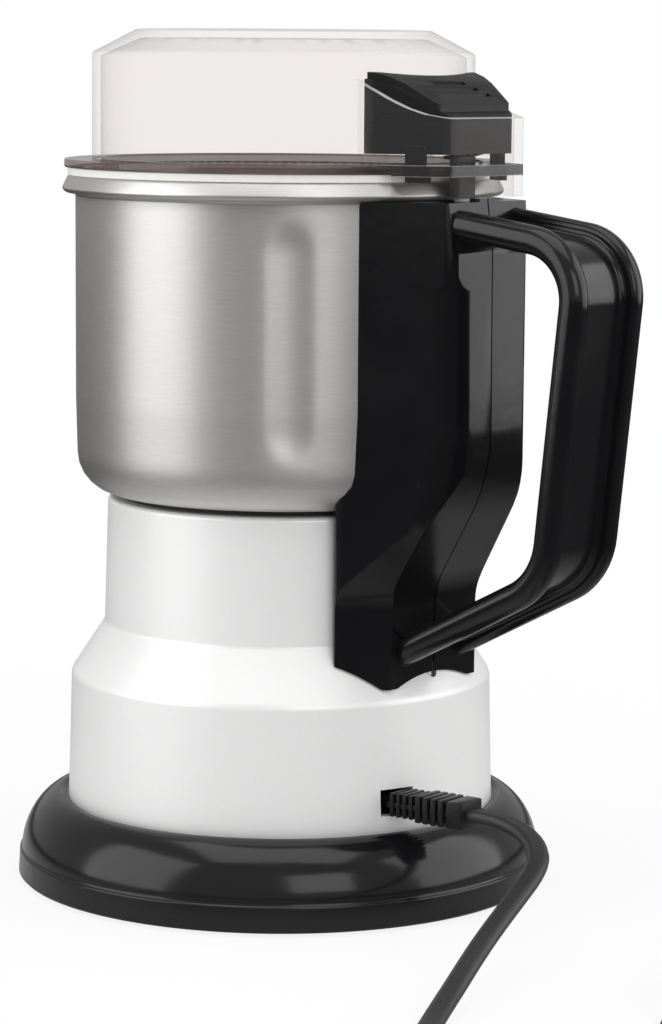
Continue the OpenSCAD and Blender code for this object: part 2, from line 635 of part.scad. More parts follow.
module grinding_bowl() color("#b9b6b0") difference() {
    union() {
        revolve(rounded(bowl_outline()));
        intersection() {
            flute(sheet_t);
            translate([0, 0, bowl_floor_z]) cylinder(r = bowl_r - sheet_t / 2, h = bowl_h - lip_h);
        }
    }
    flute(0);
}

// Solid of the bowl's outer form, used to cut the column to it
module bowl_form(t) revolve(concat([[0, bowl_z - t]],
    rounded_line([[0, bowl_z - t], [bowl_r - 0.6 + t, bowl_z - t, bowl_corner_r + t],
        [bowl_r + t, bowl_z + 24], [bowl_r + t, lip_z + 10], [0, lip_z + 10]])));

module bowl_bush() color("#1d1e21") difference() {
    union() {
        translate([0, 0, bush_under_z]) cylinder(r = 8.2, h = bowl_floor_z - bush_under_z);
        translate([0, 0, bowl_floor_z]) cylinder(r1 = 14, r2 = 10, h = 3);
    }
    translate([0, 0, bush_under_z - 1]) cylinder(r = shaft_r + fit, h = 20);
    translate([0, 0, bowl_floor_z + 1.2]) cylinder(r = 6.4, h = 3);
}

module bush_nut() color("#b9bcc0") difference() {
    translate([0, 0, bush_under_z]) cylinder(r = 13, h = bowl_z - bush_under_z, $fn = 6);
    translate([0, 0, bush_under_z - 1]) cylinder(r = 8.2, h = 12);
}

module shaft_seal() color("#8c2f22") translate([0, 0, bowl_floor_z + 1.2]) ring(6.4, shaft_r + fit, 2.6);

module blade_shaft() color("#c9ccd0") translate([0, 0, driven_z - lug_h + 1])
    cylinder(r = shaft_r, h = blade_z + shaft_end_h - driven_z + lug_h - 1);

module blade_washer() color("#c9ccd0") translate([0, 0, blade_z - 1.6]) ring(6, shaft_r, 1.6);

// One arm: a flat root, then a pitched and bevelled wing that sweeps up or down
module blade_arm(tilt) {
    translate([0, -5.5, 0]) cube([15, 11, blade_t]);
    translate([14, 0, blade_t / 2]) rotate([0, -tilt, 0]) rotate([10, 0, 0]) difference() {
        translate([-1.2, 0, -blade_t / 2]) linear_extrude(blade_t)
            polygon([[0, -5.5], [blade_r - 17, -4.6], [blade_r - 13, 0], [blade_r - 15, 5], [0, 5.5]]);
        translate([-4, -9.4, -0.2]) rotate([-22, 0, 0]) cube([blade_r, 5, 5]);
    }
}

module cutting_blade() color("#c9ccd0") translate([0, 0, blade_z]) difference() {
    union() {
        cylinder(r = 8.5, h = blade_t);
        for (i = [0:3]) rotate(90 * i) blade_arm(i % 2 == 0 ? 24 : 8);
    }
    translate([0, 0, -3]) cylinder(r = shaft_r, h = 8);
}

module blade_nut() color("#c9ccd0") translate([0, 0, blade_z + blade_t]) difference() {
    union() {
        cylinder(r = 6, h = 4.4, $fn = 6);
        translate([0, 0, 4.4]) cylinder(r1 = 4.8, r2 = 3, h = 2.2);
    }
    translate([0, 0, -1]) cylinder(r = shaft_r, h = shaft_end_h - blade_t + 1);
}

module driven_coupling() color("#202124") {
    translate([0, 0, driven_z]) ring(coupling_r, shaft_r, 4);
    translate([0, 0, driven_z - lug_h]) rotate(60) dogs(lug_h + 0.01);
}

stud_y = 10;
stud_z = 150;
stud_x = sqrt(bowl_r * bowl_r - stud_y * stud_y);

// Two threaded studs welded on the bowl's wall, which hold the column
module bowl_studs() color("#b9bcc0") difference() {
    for (side = [-1, 1]) translate([stud_x - 1.6, side * stud_y, stud_z]) rotate([0, 90, 0]) {
        cylinder(r = 3.2, h = 2.6);
        cylinder(r = 1.9, h = 9.6);
    }
    cylinder(r = bowl_r, h = lip_z);
}

module stud_nuts() color("#b9bcc0") for (side = [-1, 1]) translate([stud_x + 3.6, side * stud_y, stud_z])
    rotate([0, 90, 0]) difference() {
        cylinder(r = 3.8, h = 3, $fn = 6);
        translate([0, 0, -1]) cylinder(r = 1.9, h = 6);
    }

// ---------------------------------------------------------------- column and handle

inner_x = 30;
inner_half_w = 17;
side_x = 41.5;
side_half_w = 26.8;
foot_inner_x = 36.4;
front_x = column_x + 0.45;
front_half_w = column_half_w + 0.3;
foot_corner = 47.4;     // Reach of the foot's slanted corner along the diagonal

// Side view of the column: an upright face, drawn in to the foot
column_side = rounded_line([[column_x - 1.6, column_top_z], [column_x, column_top_z - 12, 8],
    [column_x + 0.4, 109, 16], [foot_x, 80.5, 16], [foot_x - 0.6, foot_z], [foot_inner_x, foot_z],
    [foot_inner_x, 70], [inner_x, 70], [inner_x, column_top_z]], 4);

// Diagonal view of what is taken off the column's corner, most at the foot
corner_side = rounded_line([[foot_corner, foot_z - 8], [foot_corner, 78, 16], [foot_corner + 8.2, 100, 10],
    [foot_corner + 11.6, 112], [foot_corner + 40, 112], [foot_corner + 40, foot_z - 8]], 4);

module half_column() difference() {
    intersection() {
        slab(column_side, 70);
        translate([0, 0, foot_z - 1]) linear_extrude(column_top_z - foot_z + 2) polygon(rounded(
            [[inner_x - 1, -1], [front_x, -1], [front_x, front_half_w, 5], [side_x, side_half_w, 3],
                [side_x - 7.5, side_half_w - 6.8], [inner_x - 1, inner_half_w]], 5));
    }
    rotate(45) slab(corner_side, 120);
}

// Corners of the strap's centre line in side view, from the column's top round to its foot
strap_lean = 0.111;
strap_a = [58, 171.2];
strap_b = [handle_x, handle_top_z];
strap_c = [handle_x - (handle_top_z - handle_low_z) * strap_lean, handle_low_z];
strap_d = [45, 62.4];
bend_b = 14;
bend_c = 17;
rail_round = 3.6;
crest_round = 1.6;
back_round = 2.8;
floor_round = 1.7;

// Half section of the strap as [y, out], moved in by e: a rail beside the channel, or plain
function rail(grooved, e = 0) = let (w = strap_w / 2 - e, t = strap_t / 2 - e,
    k = strap_w / 2 - rail_w + e, f = t - channel_depth) concat([[-2, -t]],
    [for (a = [-90:30:0]) [w - back_round + back_round * cos(a), -t + back_round + back_round * sin(a)]],
    [for (a = [0:22.5:90]) [w - rail_round + rail_round * cos(a), t - rail_round + rail_round * sin(a)]],
    grooved ? [for (a = [90:30:180])
        [k + crest_round + crest_round * cos(a), t - crest_round + crest_round * sin(a)]] : [],
    grooved ? [for (a = [0:-30:-90])
        [k - floor_round + floor_round * cos(a), f + floor_round + floor_round * sin(a)]] : [],
    grooved ? [[-2, f]] : [[-2, t]]);
inset = 0.03;     // keeps the skins of joined pieces apart

// A straight run of the strap, from low to high along the way from a to b
module strap_run(a, b, low, high, grooved = true) let (d = unit(b - a))
    translate([a.x + d.x * low, 0, a.y + d.y * low]) rotate([0, atan2(d.x, d.y), 0]) rotate(90)
        linear_extrude(high - low) polygon(rail(grooved, grooved ? 0 : inset));

// The bend at p, on the way from a to b
function setback(a, p, b, r) = r / tan(acos(unit(a - p) * unit(b - p)) / 2);
module strap_bend(a, p, b, r) let (d1 = unit(p - a), d2 = unit(b - p),
    c = p + unit(d2 - d1) * r / sin(acos(unit(a - p) * d2) / 2),
    from = atan2(-d1.x, -d1.y), to = atan2(-d2.x, -d2.y))
    translate([c.x, 0, c.y]) rotate([-90, 0, 0]) rotate(from) rotate_extrude(angle = (to - from + 360) % 360)
        polygon([for (q = rail(true, inset)) [r + q[1], q[0]]]);

strap_plain_a = 12.5;
strap_plain_d = 12;
module half_strap() let (sb = setback(strap_a, strap_b, strap_c, bend_b) - 0.4,
    sc = setback(strap_b, strap_c, strap_d, bend_c) - 0.4,
    la = norm(strap_b - strap_a) - sb, lb = norm(strap_c - strap_b) - sc, lc = norm(strap_d - strap_c)) {
    strap_run(strap_a, strap_b, 0, strap_plain_a, false);
    strap_run(strap_a, strap_b, 2, la);
    strap_bend(strap_a, strap_b, strap_c, bend_b);
    strap_run(strap_b, strap_c, sb, lb);
    strap_bend(strap_b, strap_c, strap_d, bend_c);
    strap_run(strap_c, strap_d, sc, lc - 2);
    strap_run(strap_c, strap_d, lc - strap_plain_d, lc, false);
}

// Way of the push rod in side view: an upper bore and a cranked slot
module rod_way(t) {
    translate([rod_x, 0, 104]) cylinder(r = rod_r + t, h = 100);
    translate([rod_x, 0, rod_spring_z]) cylinder(r = 3.9, h = rod_collar_z + 4 - rod_spring_z);
    slab(rod_crank(66, 118, t, press_travel), rod_w + 2 * t);
    translate([rod_low_x, 0, 40]) cylinder(r = 1.6 + t, h = 40);
    // Mouth for the button's plunger
    block([plunger_x - 2, -3.6, column_top_z - 3.4], [plunger_x + 2, 3.6, column_top_z + 4]);
}

// Side view of the rod's crank between its upper and lower stretch, widened by t and open below by drop
crank_low_z = 83;
crank_high_z = 105;
function rod_crank(low, high, t = 0, drop = 0) = let (w = 1.6 + t, k = 1.3 + t)
    [[rod_x - w, high], [rod_x - w, crank_high_z + 1], [rod_low_x - k, crank_low_z + 1],
        [rod_low_x - k, low], [rod_low_x + k, low], [rod_low_x + k, crank_low_z - drop],
        [rod_x + w, crank_high_z - drop], [rod_x + w, high]];

handle_screw_points = [[64, 166], [64, 134], [62.9, 109.5]];

module handle_half() difference() {
    union() {
        half_column();
        half_strap();
        // Low rib on the column's top, under the hood
        block([62.8, 0, column_top_z - 3], [66, 3.1, column_top_z + 0.8]);
    }
    block([0, -4, 0], [150, 0, 250]);
    bowl_form(0);
    // The column lifts off the neck and shoulder with a clearance
    revolve(concat([[0, 20]], rounded_line(concat([for (i = [0:2]) housing_side(gap)[i]],
        [[neck_top_r + gap, bowl_z + 1]])), [[0, bowl_z + 1]]));
    rod_way(gap);
    block([stud_x + 3.6, -14, stud_z - 4.6], [stud_x + 8.8, 14.2, stud_z + 4.6]);
    translate([stud_x - 2, stud_y, stud_z]) rotate([0, 90, 0]) cylinder(r = 3.4, h = 3.4);
    translate([stud_x - 2, stud_y, stud_z]) rotate([0, 90, 0]) cylinder(r = 2.1, h = 8);
}

module handle_right() color("#0f0f11") difference() {
    mirror([0, 1, 0]) handle_half();
    for (p = handle_screw_points) translate([p.x, -9, p.y]) rotate([-90, 0, 0]) cylinder(r = 1.5, h = 12);
}

module handle_left() color("#0f0f11") difference() {
    handle_half();
    for (p = handle_screw_points) translate([p.x, 0, p.y]) rotate([-90, 0, 0]) {
        translate([0, 0, -1]) cylinder(r = 1.7, h = 30);
        translate([0, 0, 9]) cylinder(r = 3.1, h = 20);
    }
}

module handle_screws() color("#8a8d92") for (p = handle_screw_points)
    translate([p.x, 9, p.y]) rotate([-90, 0, 0]) screw(1.5, 17, 2.8, 2);

module push_rod() color("#e8e6df") {
    translate([rod_x, 0, 110]) cylinder(r = rod_r, h = rod_top_z - 110);
    translate([rod_x, 0, rod_collar_z]) cylinder(r = 3.4, h = 2);
    slab(rod_crank(70, 114), rod_w);
    translate([rod_low_x, 0, rod_tip_z]) cylinder(r = 1.6, h = 10);
}

module rod_spring() color("#c9ccd0") translate([rod_x, 0, rod_spring_z])
    coil_spring(2.9, rod_collar_z - rod_spring_z, 7, 0.35);

// ---------------------------------------------------------------- lid

dome_outline = [[dome_r, web_top_z - 0.4], [dome_r - 0.1, dome_slope_z, 1], [dome_top_d / 2, dome_top_z, 1.4],
    [0, dome_top_z], [0, dome_top_z - lid_t], [dome_top_d / 2 - 1, dome_top_z - lid_t],
    [dome_r - lid_t, dome_slope_z - 0.8], [dome_r - lid_t, flange_z]];
spigot_r = bowl_r - sheet_t - 0.9;

// Plan of the hood, moved in by t
function hood_plan(t) = rounded([[36, -23.6 + t], [46.5, -23.2 + t, 6],
    [hood_x - t, -hood_half_w + t * 0.75, 3.4], [hood_x - t, hood_half_w - t * 0.75, 3.4],
    [46.5, 23.2 - t, 6], [36, 23.6 - t]]);

// Side view of the hood: upright ends and a rim that falls in a hollow curve to the front
hood_side = [[36, hood_z], [hood_x + 1, hood_z], [hood_x + 1, web_top_z + 11], [60, web_top_z + 12.2],
    [56, web_top_z + 13.6], [52, web_top_z + 15.6], [48, web_top_z + 18], [44, web_top_z + 20.2],
    [36, web_top_z + 22]];

module hood_walls() intersection() {
    difference() {
        translate([0, 0, hood_z]) linear_extrude(40) polygon(hood_plan(0));
        translate([0, 0, web_top_z]) linear_extrude(40) polygon(hood_plan(hood_t));
        translate([0, 0, hood_z - 1]) linear_extrude(flange_z - hood_z + 1) polygon(hood_plan(hood_t));
    }
    slab(hood_side, 60);
}

// The two legs of the button, each beside a side wall of the hood
module at_legs() for (side = [-1, 1]) scale([1, -side, 1])
    translate([leg_x, -leg_y, 0]) rotate(leg_turn) children();

module lid_cover() color("#d8cfc8", 0.5) difference() {
    union() {
        revolve(rounded(concat([[spigot_r - 2.2, flange_z], [spigot_r - 2.2, flange_z - 6, 0.6],
            [spigot_r, flange_z - 6, 0.6], [spigot_r, flange_z], [flange_d / 2, flange_z, 0.5],
            [flange_d / 2, web_top_z, 0.5]], dome_outline), 4));
        difference() {
            hood_walls();
            translate([0, 0, hood_z - 1]) cylinder(r = lip_r + 0.8, h = flange_z - hood_z + 1);
            translate([0, 0, flange_z - 0.1]) cylinder(r = dome_r - 0.6, h = 60);
        }
    }
    // Openings in the floor of the hood for the button's legs and plunger
    at_legs() block([-2.9, -1.3, flange_z - 1], [2.9, 1.1, web_top_z + 1]);
    block([plunger_x - 2.1, -3.7, flange_z - 1], [plunger_x + 2.1, 3.7, web_top_z + 1]);
}

module lid_gasket() color("#ece9e2") translate([0, 0, lip_z]) ring(flange_d / 2 - 0.8, spigot_r, gasket_t);

// Plan of the button, with its back hollowed to the dome
function button_plan(t) = rounded([[38, -21.4 + t], [46.5, -21 + t, 5],
    [hood_x - hood_t - t, -hood_half_w + 1.6 + t, 2.4], [hood_x - hood_t - t, hood_half_w - 1.6 - t, 2.4],
    [46.5, 21 - t, 5], [38, 21.4 - t]]);

// Top of the button in side view, a convex slope
button_top = [[36, 206.2], [46, 205.8], [50, 204.8], [53.6, 203.2], [57.4, 200.9], [61.8, 198.2]];
button_lift = web_top_z - 183.8;
plate_h = 2.2;

module lid_button() color("#1b1b1d") difference() {
    union() {
        // Block that slides in the hood
        intersection() {
            translate([0, 0, button_z]) linear_extrude(40) polygon(button_plan(gap));
            slab(concat([for (p = button_top) p + [0, button_lift - plate_h + 0.6]],
                [[hood_x, 194.4 + button_lift], [hood_x, button_z - 1], [36, button_z - 1]]), 60);
        }
        // Top plate
        intersection() {
            translate([0, 0, button_z]) linear_extrude(40) polygon(rounded([[38, -20.4], [44, -20.2, 2],
                [61.7, -13.6, 1.6], [61.7, 13.6, 1.6], [44, 20.2, 2], [38, 20.4]], 4));
            slab(concat([for (p = button_top) p + [0, button_lift]],
                [for (i = [5:-1:0]) button_top[i] + [0, button_lift - plate_h]]), 60);
        }
        // Snap legs with hooked feet under the hood's floor
        at_legs() {
            block([-2.5, -0.8, flange_z - 1.8], [2.5, 0.8, button_z + 2]);
            block([-2.5, -0.8, flange_z - 1.8], [3.6, 0.8, flange_z - 0.2]);
        }
        // Plunger that meets the rod in the column
        block([plunger_x - 1.5, -3.1, rod_top_z + 0.2], [plunger_x + 1.5, 3.1, button_z + 8]);
    }
    translate([0, 0, button_z - 1]) cylinder(r = dome_r + gap + 0.2, h = 60);
    // Pocket for the spring, round the plunger
    translate([plunger_x, 0, button_z - 1]) difference() {
        cylinder(r = 5.4, h = 8);
        block([-1.5, -3.1, -1], [1.5, 3.1, 10]);
    }
    // Grip grooves
    for (i = [0:2]) let (x = 53.4 + 2.3 * i, half = 6.2 + 2 * i)
        block([x - 0.5, -half, on_line(x, 46, 205.4, 61.8, 198.2) + button_lift - 0.5], [x + 0.5, half, 210]);
}

module button_spring() color("#c9ccd0") translate([plunger_x, 0, web_top_z])
    coil_spring(4.55, button_z + 7 - web_top_z, 4, 0.4);

// ---------------------------------------------------------------- the assembly

base_ring();
base_plate();
rubber_foot();
base_screws();
motor_housing();
seat_ring();
motor_shaft();
armature_core();
armature_winding();
commutator();
cooling_fan();
drive_coupling();
stator_core();
field_coils();
upper_bracket();
lower_bracket();
upper_bearing();
lower_bearing();
brush_holders();
carbon_brushes();
brush_springs();
motor_screws();
mount_screws();
microswitch();
switch_screws();
switch_pin();
inner_leads();
strain_relief();
supply_cord();
cord_coil();
cord_tail();
plug_body();
plug_pins();
grinding_bowl();
bowl_bush();
bush_nut();
shaft_seal();
blade_shaft();
blade_washer();
cutting_blade();
blade_nut();
driven_coupling();
bowl_studs();
stud_nuts();
handle_right();
handle_left();
handle_screws();
push_rod();
rod_spring();
lid_cover();
lid_gasket();
lid_button();
button_spring();
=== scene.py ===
# %% [markdown]
# # An electric spice grinder
# This lesson dresses a finished CAD model of a small spice grinder: a motor base with a silver drum, a steel
# jar with a black handle, and a clear lid with a press button over the handle. The CAD model is loaded as a
# fixed frame in metres. Each new piece is made in that frame, hides the CAD node that it stands for, and rides
# on the same body, so that lids still lift and buttons still press.

# %% Load the frame
import json
import math
import bmesh
import bpy
from mathutils import Matrix, Vector


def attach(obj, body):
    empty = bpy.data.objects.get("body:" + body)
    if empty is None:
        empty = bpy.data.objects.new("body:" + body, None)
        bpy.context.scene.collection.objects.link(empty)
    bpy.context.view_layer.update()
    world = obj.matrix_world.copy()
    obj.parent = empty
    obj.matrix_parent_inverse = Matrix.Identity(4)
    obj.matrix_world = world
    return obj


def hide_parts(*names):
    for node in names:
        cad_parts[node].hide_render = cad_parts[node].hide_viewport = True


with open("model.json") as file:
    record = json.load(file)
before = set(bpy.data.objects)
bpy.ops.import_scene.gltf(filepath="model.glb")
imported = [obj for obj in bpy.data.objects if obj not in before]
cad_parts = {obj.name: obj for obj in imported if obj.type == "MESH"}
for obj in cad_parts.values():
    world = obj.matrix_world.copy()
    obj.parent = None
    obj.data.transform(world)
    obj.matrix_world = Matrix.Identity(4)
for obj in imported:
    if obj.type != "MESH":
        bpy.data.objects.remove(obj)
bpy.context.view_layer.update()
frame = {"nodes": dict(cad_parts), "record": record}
nodes = frame["nodes"]
MM = 0.001

# %% [markdown]
# ## The camera
# A product shot is taken from a step back with a long lens, so that the upright walls stay nearly parallel.
# The camera looks slightly down and stands to the handle's right. It is built from its own three axes, because
# that keeps the small roll of a hand-set tripod head, which a Track To constraint would take out.

# %% Camera
AZIMUTH = math.radians(42)
CAMERA_REACH, CAMERA_HEIGHT = 0.830, 0.2083
PITCH, YAW, ROLL = 0.136969, 0.015254, 0.007313
LENS = 114.97
UP = Vector((0, 0, 1))


def in_view(right, deep, high):
    """A direction given as right, away from the camera, and up."""
    sideways = Vector((math.cos(AZIMUTH), math.sin(AZIMUTH), 0))
    return sideways * right + UP.cross(sideways) * deep + UP * high


forward = in_view(math.sin(YAW) * math.cos(PITCH), math.cos(YAW) * math.cos(PITCH), -math.sin(PITCH))
level = in_view(math.cos(YAW), -math.sin(YAW), 0)
right = Matrix.Rotation(-ROLL, 3, forward) @ level
camera = bpy.data.objects.new("camera", bpy.data.cameras.new("camera"))
camera.data.lens = LENS
camera.data.clip_start = 0.05
camera.matrix_world = Matrix.Translation(in_view(0, -CAMERA_REACH, CAMERA_HEIGHT)) @ Matrix(
    (right, right.cross(forward), -forward)).transposed().to_4x4()
bpy.context.scene.collection.objects.link(camera)
bpy.context.scene.camera = camera
bpy.context.scene.view_settings.view_transform = "Standard"
print("camera at", [round(x, 4) for x in camera.matrix_world.translation])

# %% [markdown]
# ## Materials as expressions
# A finish is mostly a few numbers that vary over the surface: roughness that changes in patches, a colour that
# darkens in a groove. Written as node links, such maths is hard to read, so a small class wraps a socket and
# turns +, * and ** into Math nodes. Everything else goes through one method that adds any node by its type.


# %% A socket that takes part in arithmetic
class Amount:
    """A number or colour of a material that changes over the surface."""

    def __init__(self, finish, socket):
        self.finish, self.socket = finish, socket

    def maths(self, operation, *terms):
        return self.finish.node("Math", {"operation": operation}, *terms)

    def __add__(self, other):
        return self.maths("ADD", self, other)

    def __mul__(self, other):
        return self.maths("MULTIPLY", self, other)

    def __pow__(self, other):
        return self.maths("POWER", self, other)

    __radd__, __rmul__ = __add__, __mul__


# %% A finish built on the Principled shader
class Finish:
    """A material: constants sit on the shader's sockets, and what varies is fed to them."""

    def __init__(self, name, colour, roughness, **constants):
        self.material = bpy.data.materials.new(name)
        self.material.use_nodes = True
        self.tree = self.material.node_tree
        self.shader = self.tree.nodes["Principled BSDF"]
        self.feed(Base_Color=colour, Roughness=roughness, **constants)

    def join(self, socket, value):
        if isinstance(value, Amount):
            self.tree.links.new(value.socket, socket)
        else:
            socket.default_value = (*value, 1) if socket.type == "RGBA" and len(value) == 3 else value

    def feed(self, **sockets):
        for name, value in sockets.items():
            self.join(self.shader.inputs[name.replace("_", " ")], value)
        return self

    def node(self, kind, settings, *inputs, out=0, **named):
        """Adds a node: its settings first, then values or links for its sockets, in order or by name."""
        made = self.tree.nodes.new("ShaderNode" + kind)
        for key, value in settings.items():
            setattr(made, key, value)
        for key, value in [*enumerate(inputs), *((k.replace("_", " "), v) for k, v in named.items())]:
            if value is not None:
                self.join(made.inputs[key], value)
        return Amount(self, made.outputs[out])

    def place(self, stretch=(1, 1, 1)):
        """Object coordinates in metres; a stretch below 1 draws a pattern out along that axis."""
        return self.node("Mapping", {}, self.node("TexCoord", {}, out="Object"), Scale=stretch)

    def cloud(self, per_metre, stretch=(1, 1, 1), detail=2.0):
        """Soft noise from 0 to 1 with this many spots to a metre."""
        return self.node("TexNoise", {}, Vector=self.place(stretch), Scale=per_metre, Detail=detail)

    def spread(self, value, low, high, to_low=0.0, to_high=1.0):
        """Value between low and high, mapped to between two levels."""
        return self.node("MapRange", {}, value, low, high, to_low, to_high)

    def mix(self, share, first, second):
        """A colour between two colours, which are the Mix node's sockets 6 and 7."""
        unused = [None] * 5
        return self.node("Mix", {"data_type": "RGBA"}, share, *unused, first, second, out=2)

    def show(self, surface):
        """Makes a shader the material's surface."""
        self.tree.links.new(surface.socket, self.tree.nodes["Material Output"].inputs["Surface"])

    def relief(self, height, depth, strength=1.0):
        """Feeds a height pattern, with its depth in metres, to the shader's Normal."""
        return self.feed(Normal=self.node("Bump", {}, Strength=strength, Distance=depth, Height=height))


# %% [markdown]
# ## Pieces from mesh operators
# Most of this grinder is turned or moulded. A turned piece starts as a flat outline whose corners are rounded
# with a vertex bevel, and is then spun about the motor's axis. A moulded strap or a cord is a small flat face
# that is extruded from station to station along its route. Both leave real geometry, so outlines stay round
# from every side.


# %% Helpers that make and finish a mesh
finishes = {}  # material slot: finish
MERGE = 2e-6  # corners closer than this, in metres, are one corner
FLAT = math.radians(0.6)  # faces that meet at less than this angle are one face


def flat_outline(bm, points):
    """A face in the XZ plane from (x, z) or (x, z, corner size) in millimetres."""
    corners = [bm.verts.new((p[0] * MM, 0, p[1] * MM)) for p in points]
    bm.faces.new(corners)
    for corner, p in zip(corners, points):
        if len(p) > 2:
            bmesh.ops.bevel(bm, geom=[corner], offset=p[2] * MM, offset_type="OFFSET", segments=6,
                            profile=0.5, affect="VERTICES", material=-1)


def turned(points, steps):
    """A closed outline spun about the upright axis."""
    bm = bmesh.new()
    flat_outline(bm, points)
    face = next(iter(bm.faces))
    rim, verts = list(face.edges), list(face.verts)
    bmesh.ops.delete(bm, geom=[face], context="FACES_ONLY")
    bmesh.ops.spin(bm, geom=rim + verts, cent=(0, 0, 0), axis=UP, angle=math.tau, steps=steps,
                   use_merge=True)
    return bm


def add_piece(name, bm, body, slot, replaced=(), sharp=32, outward=True):
    """Closes and names a mesh, gives it its slot's finish, and lets it ride on a CAD body."""
    bmesh.ops.remove_doubles(bm, verts=bm.verts, dist=MERGE / 2)
    bmesh.ops.dissolve_degenerate(bm, edges=bm.edges, dist=MERGE / 20)
    bmesh.ops.delete(bm, geom=[v for v in bm.verts if not v.link_faces], context="VERTS")
    if outward:
        bmesh.ops.recalc_face_normals(bm, faces=bm.faces)
    open_edges = sum(len(e.link_faces) != 2 for e in bm.edges)
    mesh = bpy.data.meshes.new(name)
    bm.to_mesh(mesh)
    bm.free()
    mesh.shade_smooth()
    mesh.set_sharp_from_angle(angle=math.radians(sharp))
    mesh.materials.append(finishes[slot].material)
    piece = bpy.data.objects.new(name, mesh)
    bpy.context.scene.collection.objects.link(piece)
    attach(piece, body)
    if replaced:
        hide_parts(*replaced)
    print(f"{name}: {len(mesh.polygons)} faces, {open_edges} open edges")
    return piece


def merged(mesh):
    """A bmesh of a mesh whose loose triangles are joined at their corners."""
    bm = bmesh.new()
    bm.from_mesh(mesh)
    bmesh.ops.remove_doubles(bm, verts=bm.verts, dist=MERGE)
    return bm


def joined_flats(bm):
    """Joins the triangles of each flat face, so that a bevel meets only real edges."""
    bmesh.ops.dissolve_limit(bm, angle_limit=FLAT, verts=bm.verts, edges=bm.edges)
    return bm


def rounded_edges(bm, edges, radius, segments):
    """Bevels edges with a radius in millimetres."""
    bmesh.ops.bevel(bm, geom=edges, offset=radius * MM, offset_type="OFFSET", segments=segments, profile=0.5,
                    affect="EDGES", clamp_overlap=True, material=-1)


def outer_edges(bm, least, most=180):
    """Edges that stand out at an angle between two limits, in degrees."""
    return [e for e in bm.edges if len(e.link_faces) == 2 and e.is_convex
            and least < math.degrees(e.calc_face_angle(0)) < most]


def polished(node, name, body, slot, sharp=32):
    """A merged copy of a CAD node, smooth but for its real edges."""
    return flat_faces_flat(add_piece(name, merged(nodes[node].data), body, slot, [node], sharp, outward=False))


def flat_faces_flat(piece):
    """Lets large faces rule the shading of their borders, so that only the small round ones look bent."""
    piece.modifiers.new("weighted_normals", "WEIGHTED_NORMAL").keep_sharp = True
    return piece


# %% [markdown]
# ## The supply cord
# The cord is a flat two-core lead that leaves the drum through a strain relief, falls to the table in a wide
# bend, runs forward and is wound into a small coil of four and a half turns, with its plug beside it. Its line
# is worked out first, because a cord keeps its length wherever it lies. The coil is one rule for radius and
# height over the turned angle, so its turns lie beside and on each other.

# %% The line of the cord
CORD_WIDE, CORD_THICK = 5.4, 3.2
DROP = [(74.2, -13.5, 28.7), (78.6, -13.2, 28.7), (83.2, -13.1, 28.4), (90.2, -14.2, 27.2),
        (96.4, -17.4, 25.5), (101.2, -22.2, 23.4), (104, -28.4, 21), (105.8, -36, 18), (107.4, -44, 14.8),
        (109.2, -52, 11.6), (111.4, -60, 8.5), (114, -68, 5.7), (117, -76, 3.6), (120.6, -84, 2.3),
        (124.6, -91.4, 1.7), (130.6, -98.4, 1.7), (138.8, -103.4, 1.7), (148.2, -105.2, 1.7),
        (157.4, -103.4, 1.7), (165.3, -98.3, 1.7), (170.7, -90.6, 1.7), (172.8, -81.5, 1.7),
        (171.3, -72.2, 1.7), (162.6, -55.4, 1.7), (153.8, -38.6, 1.7), (147.4, -26.2, 1.7)]
TAIL = [(202.8, -5, 7.9), (204.5, -12.8, 7.2), (205.4, -21, 6.5), (205.4, -29, 6.5)]
COIL_CENTRE, COIL_START, COIL_TURN, COIL_POINTS = Vector((172, -8, 0)), 206, 1626, 96
OUTER, INNER, LOWEST, SECOND, THIRD = 30.2, 24.8, 1.7, 4.9, 8.1
COIL_STOPS = [(0, OUTER, LOWEST), (300, OUTER, LOWEST), (360, INNER, LOWEST), (660, INNER, LOWEST),
              (720, INNER, SECOND), (1020, INNER, SECOND), (1080, OUTER, SECOND), (1380, OUTER, SECOND),
              (1440, OUTER, THIRD), (COIL_TURN, OUTER, THIRD)]


def coil_point(turned_by):
    """Where the cord lies once it has gone this many degrees round the coil."""
    for (a, r0, z0), (b, r1, z1) in zip(COIL_STOPS, COIL_STOPS[1:]):
        if turned_by <= b:
            t = (turned_by - a) / (b - a)
            ease = t * t * (3 - 2 * t)
            angle = math.radians(COIL_START - turned_by)
            radius, height = r0 + (r1 - r0) * ease, z0 + (z1 - z0) * ease
            return COIL_CENTRE + Vector((radius * math.cos(angle), radius * math.sin(angle), height))


def smooth_route(points, parts):
    """The points of a soft curve through a route, with this many parts between neighbours."""
    points = [Vector(p) for p in points]
    route = []
    for i, (b, c) in enumerate(zip(points, points[1:])):
        a, d = points[max(i - 1, 0)], points[min(i + 2, len(points) - 1)]
        for t in (k / parts for k in range(parts)):
            route.append(0.5 * (2 * b + (c - a) * t + (2 * a - 5 * b + 4 * c - d) * t * t
                                + (3 * b - a - 3 * c + d) * t ** 3))
    return [*route, points[-1]]


coil_line = [coil_point(COIL_TURN * k / COIL_POINTS) for k in range(COIL_POINTS + 1)]
cord_line = [Vector(p) * MM for p in [*DROP, *coil_line, *TAIL]]


# %% A face swept along a route
def stations(route):
    """A frame at each point of a route: X to the side, Y up, Z along it."""
    frames = []
    for i, p in enumerate(route):
        along = (route[min(i + 1, len(route) - 1)] - route[max(i - 1, 0)]).normalized()
        side = along.cross(UP).normalized()
        frames.append(Matrix.Translation(p) @ Matrix((side, side.cross(along), along)).transposed().to_4x4())
    return frames


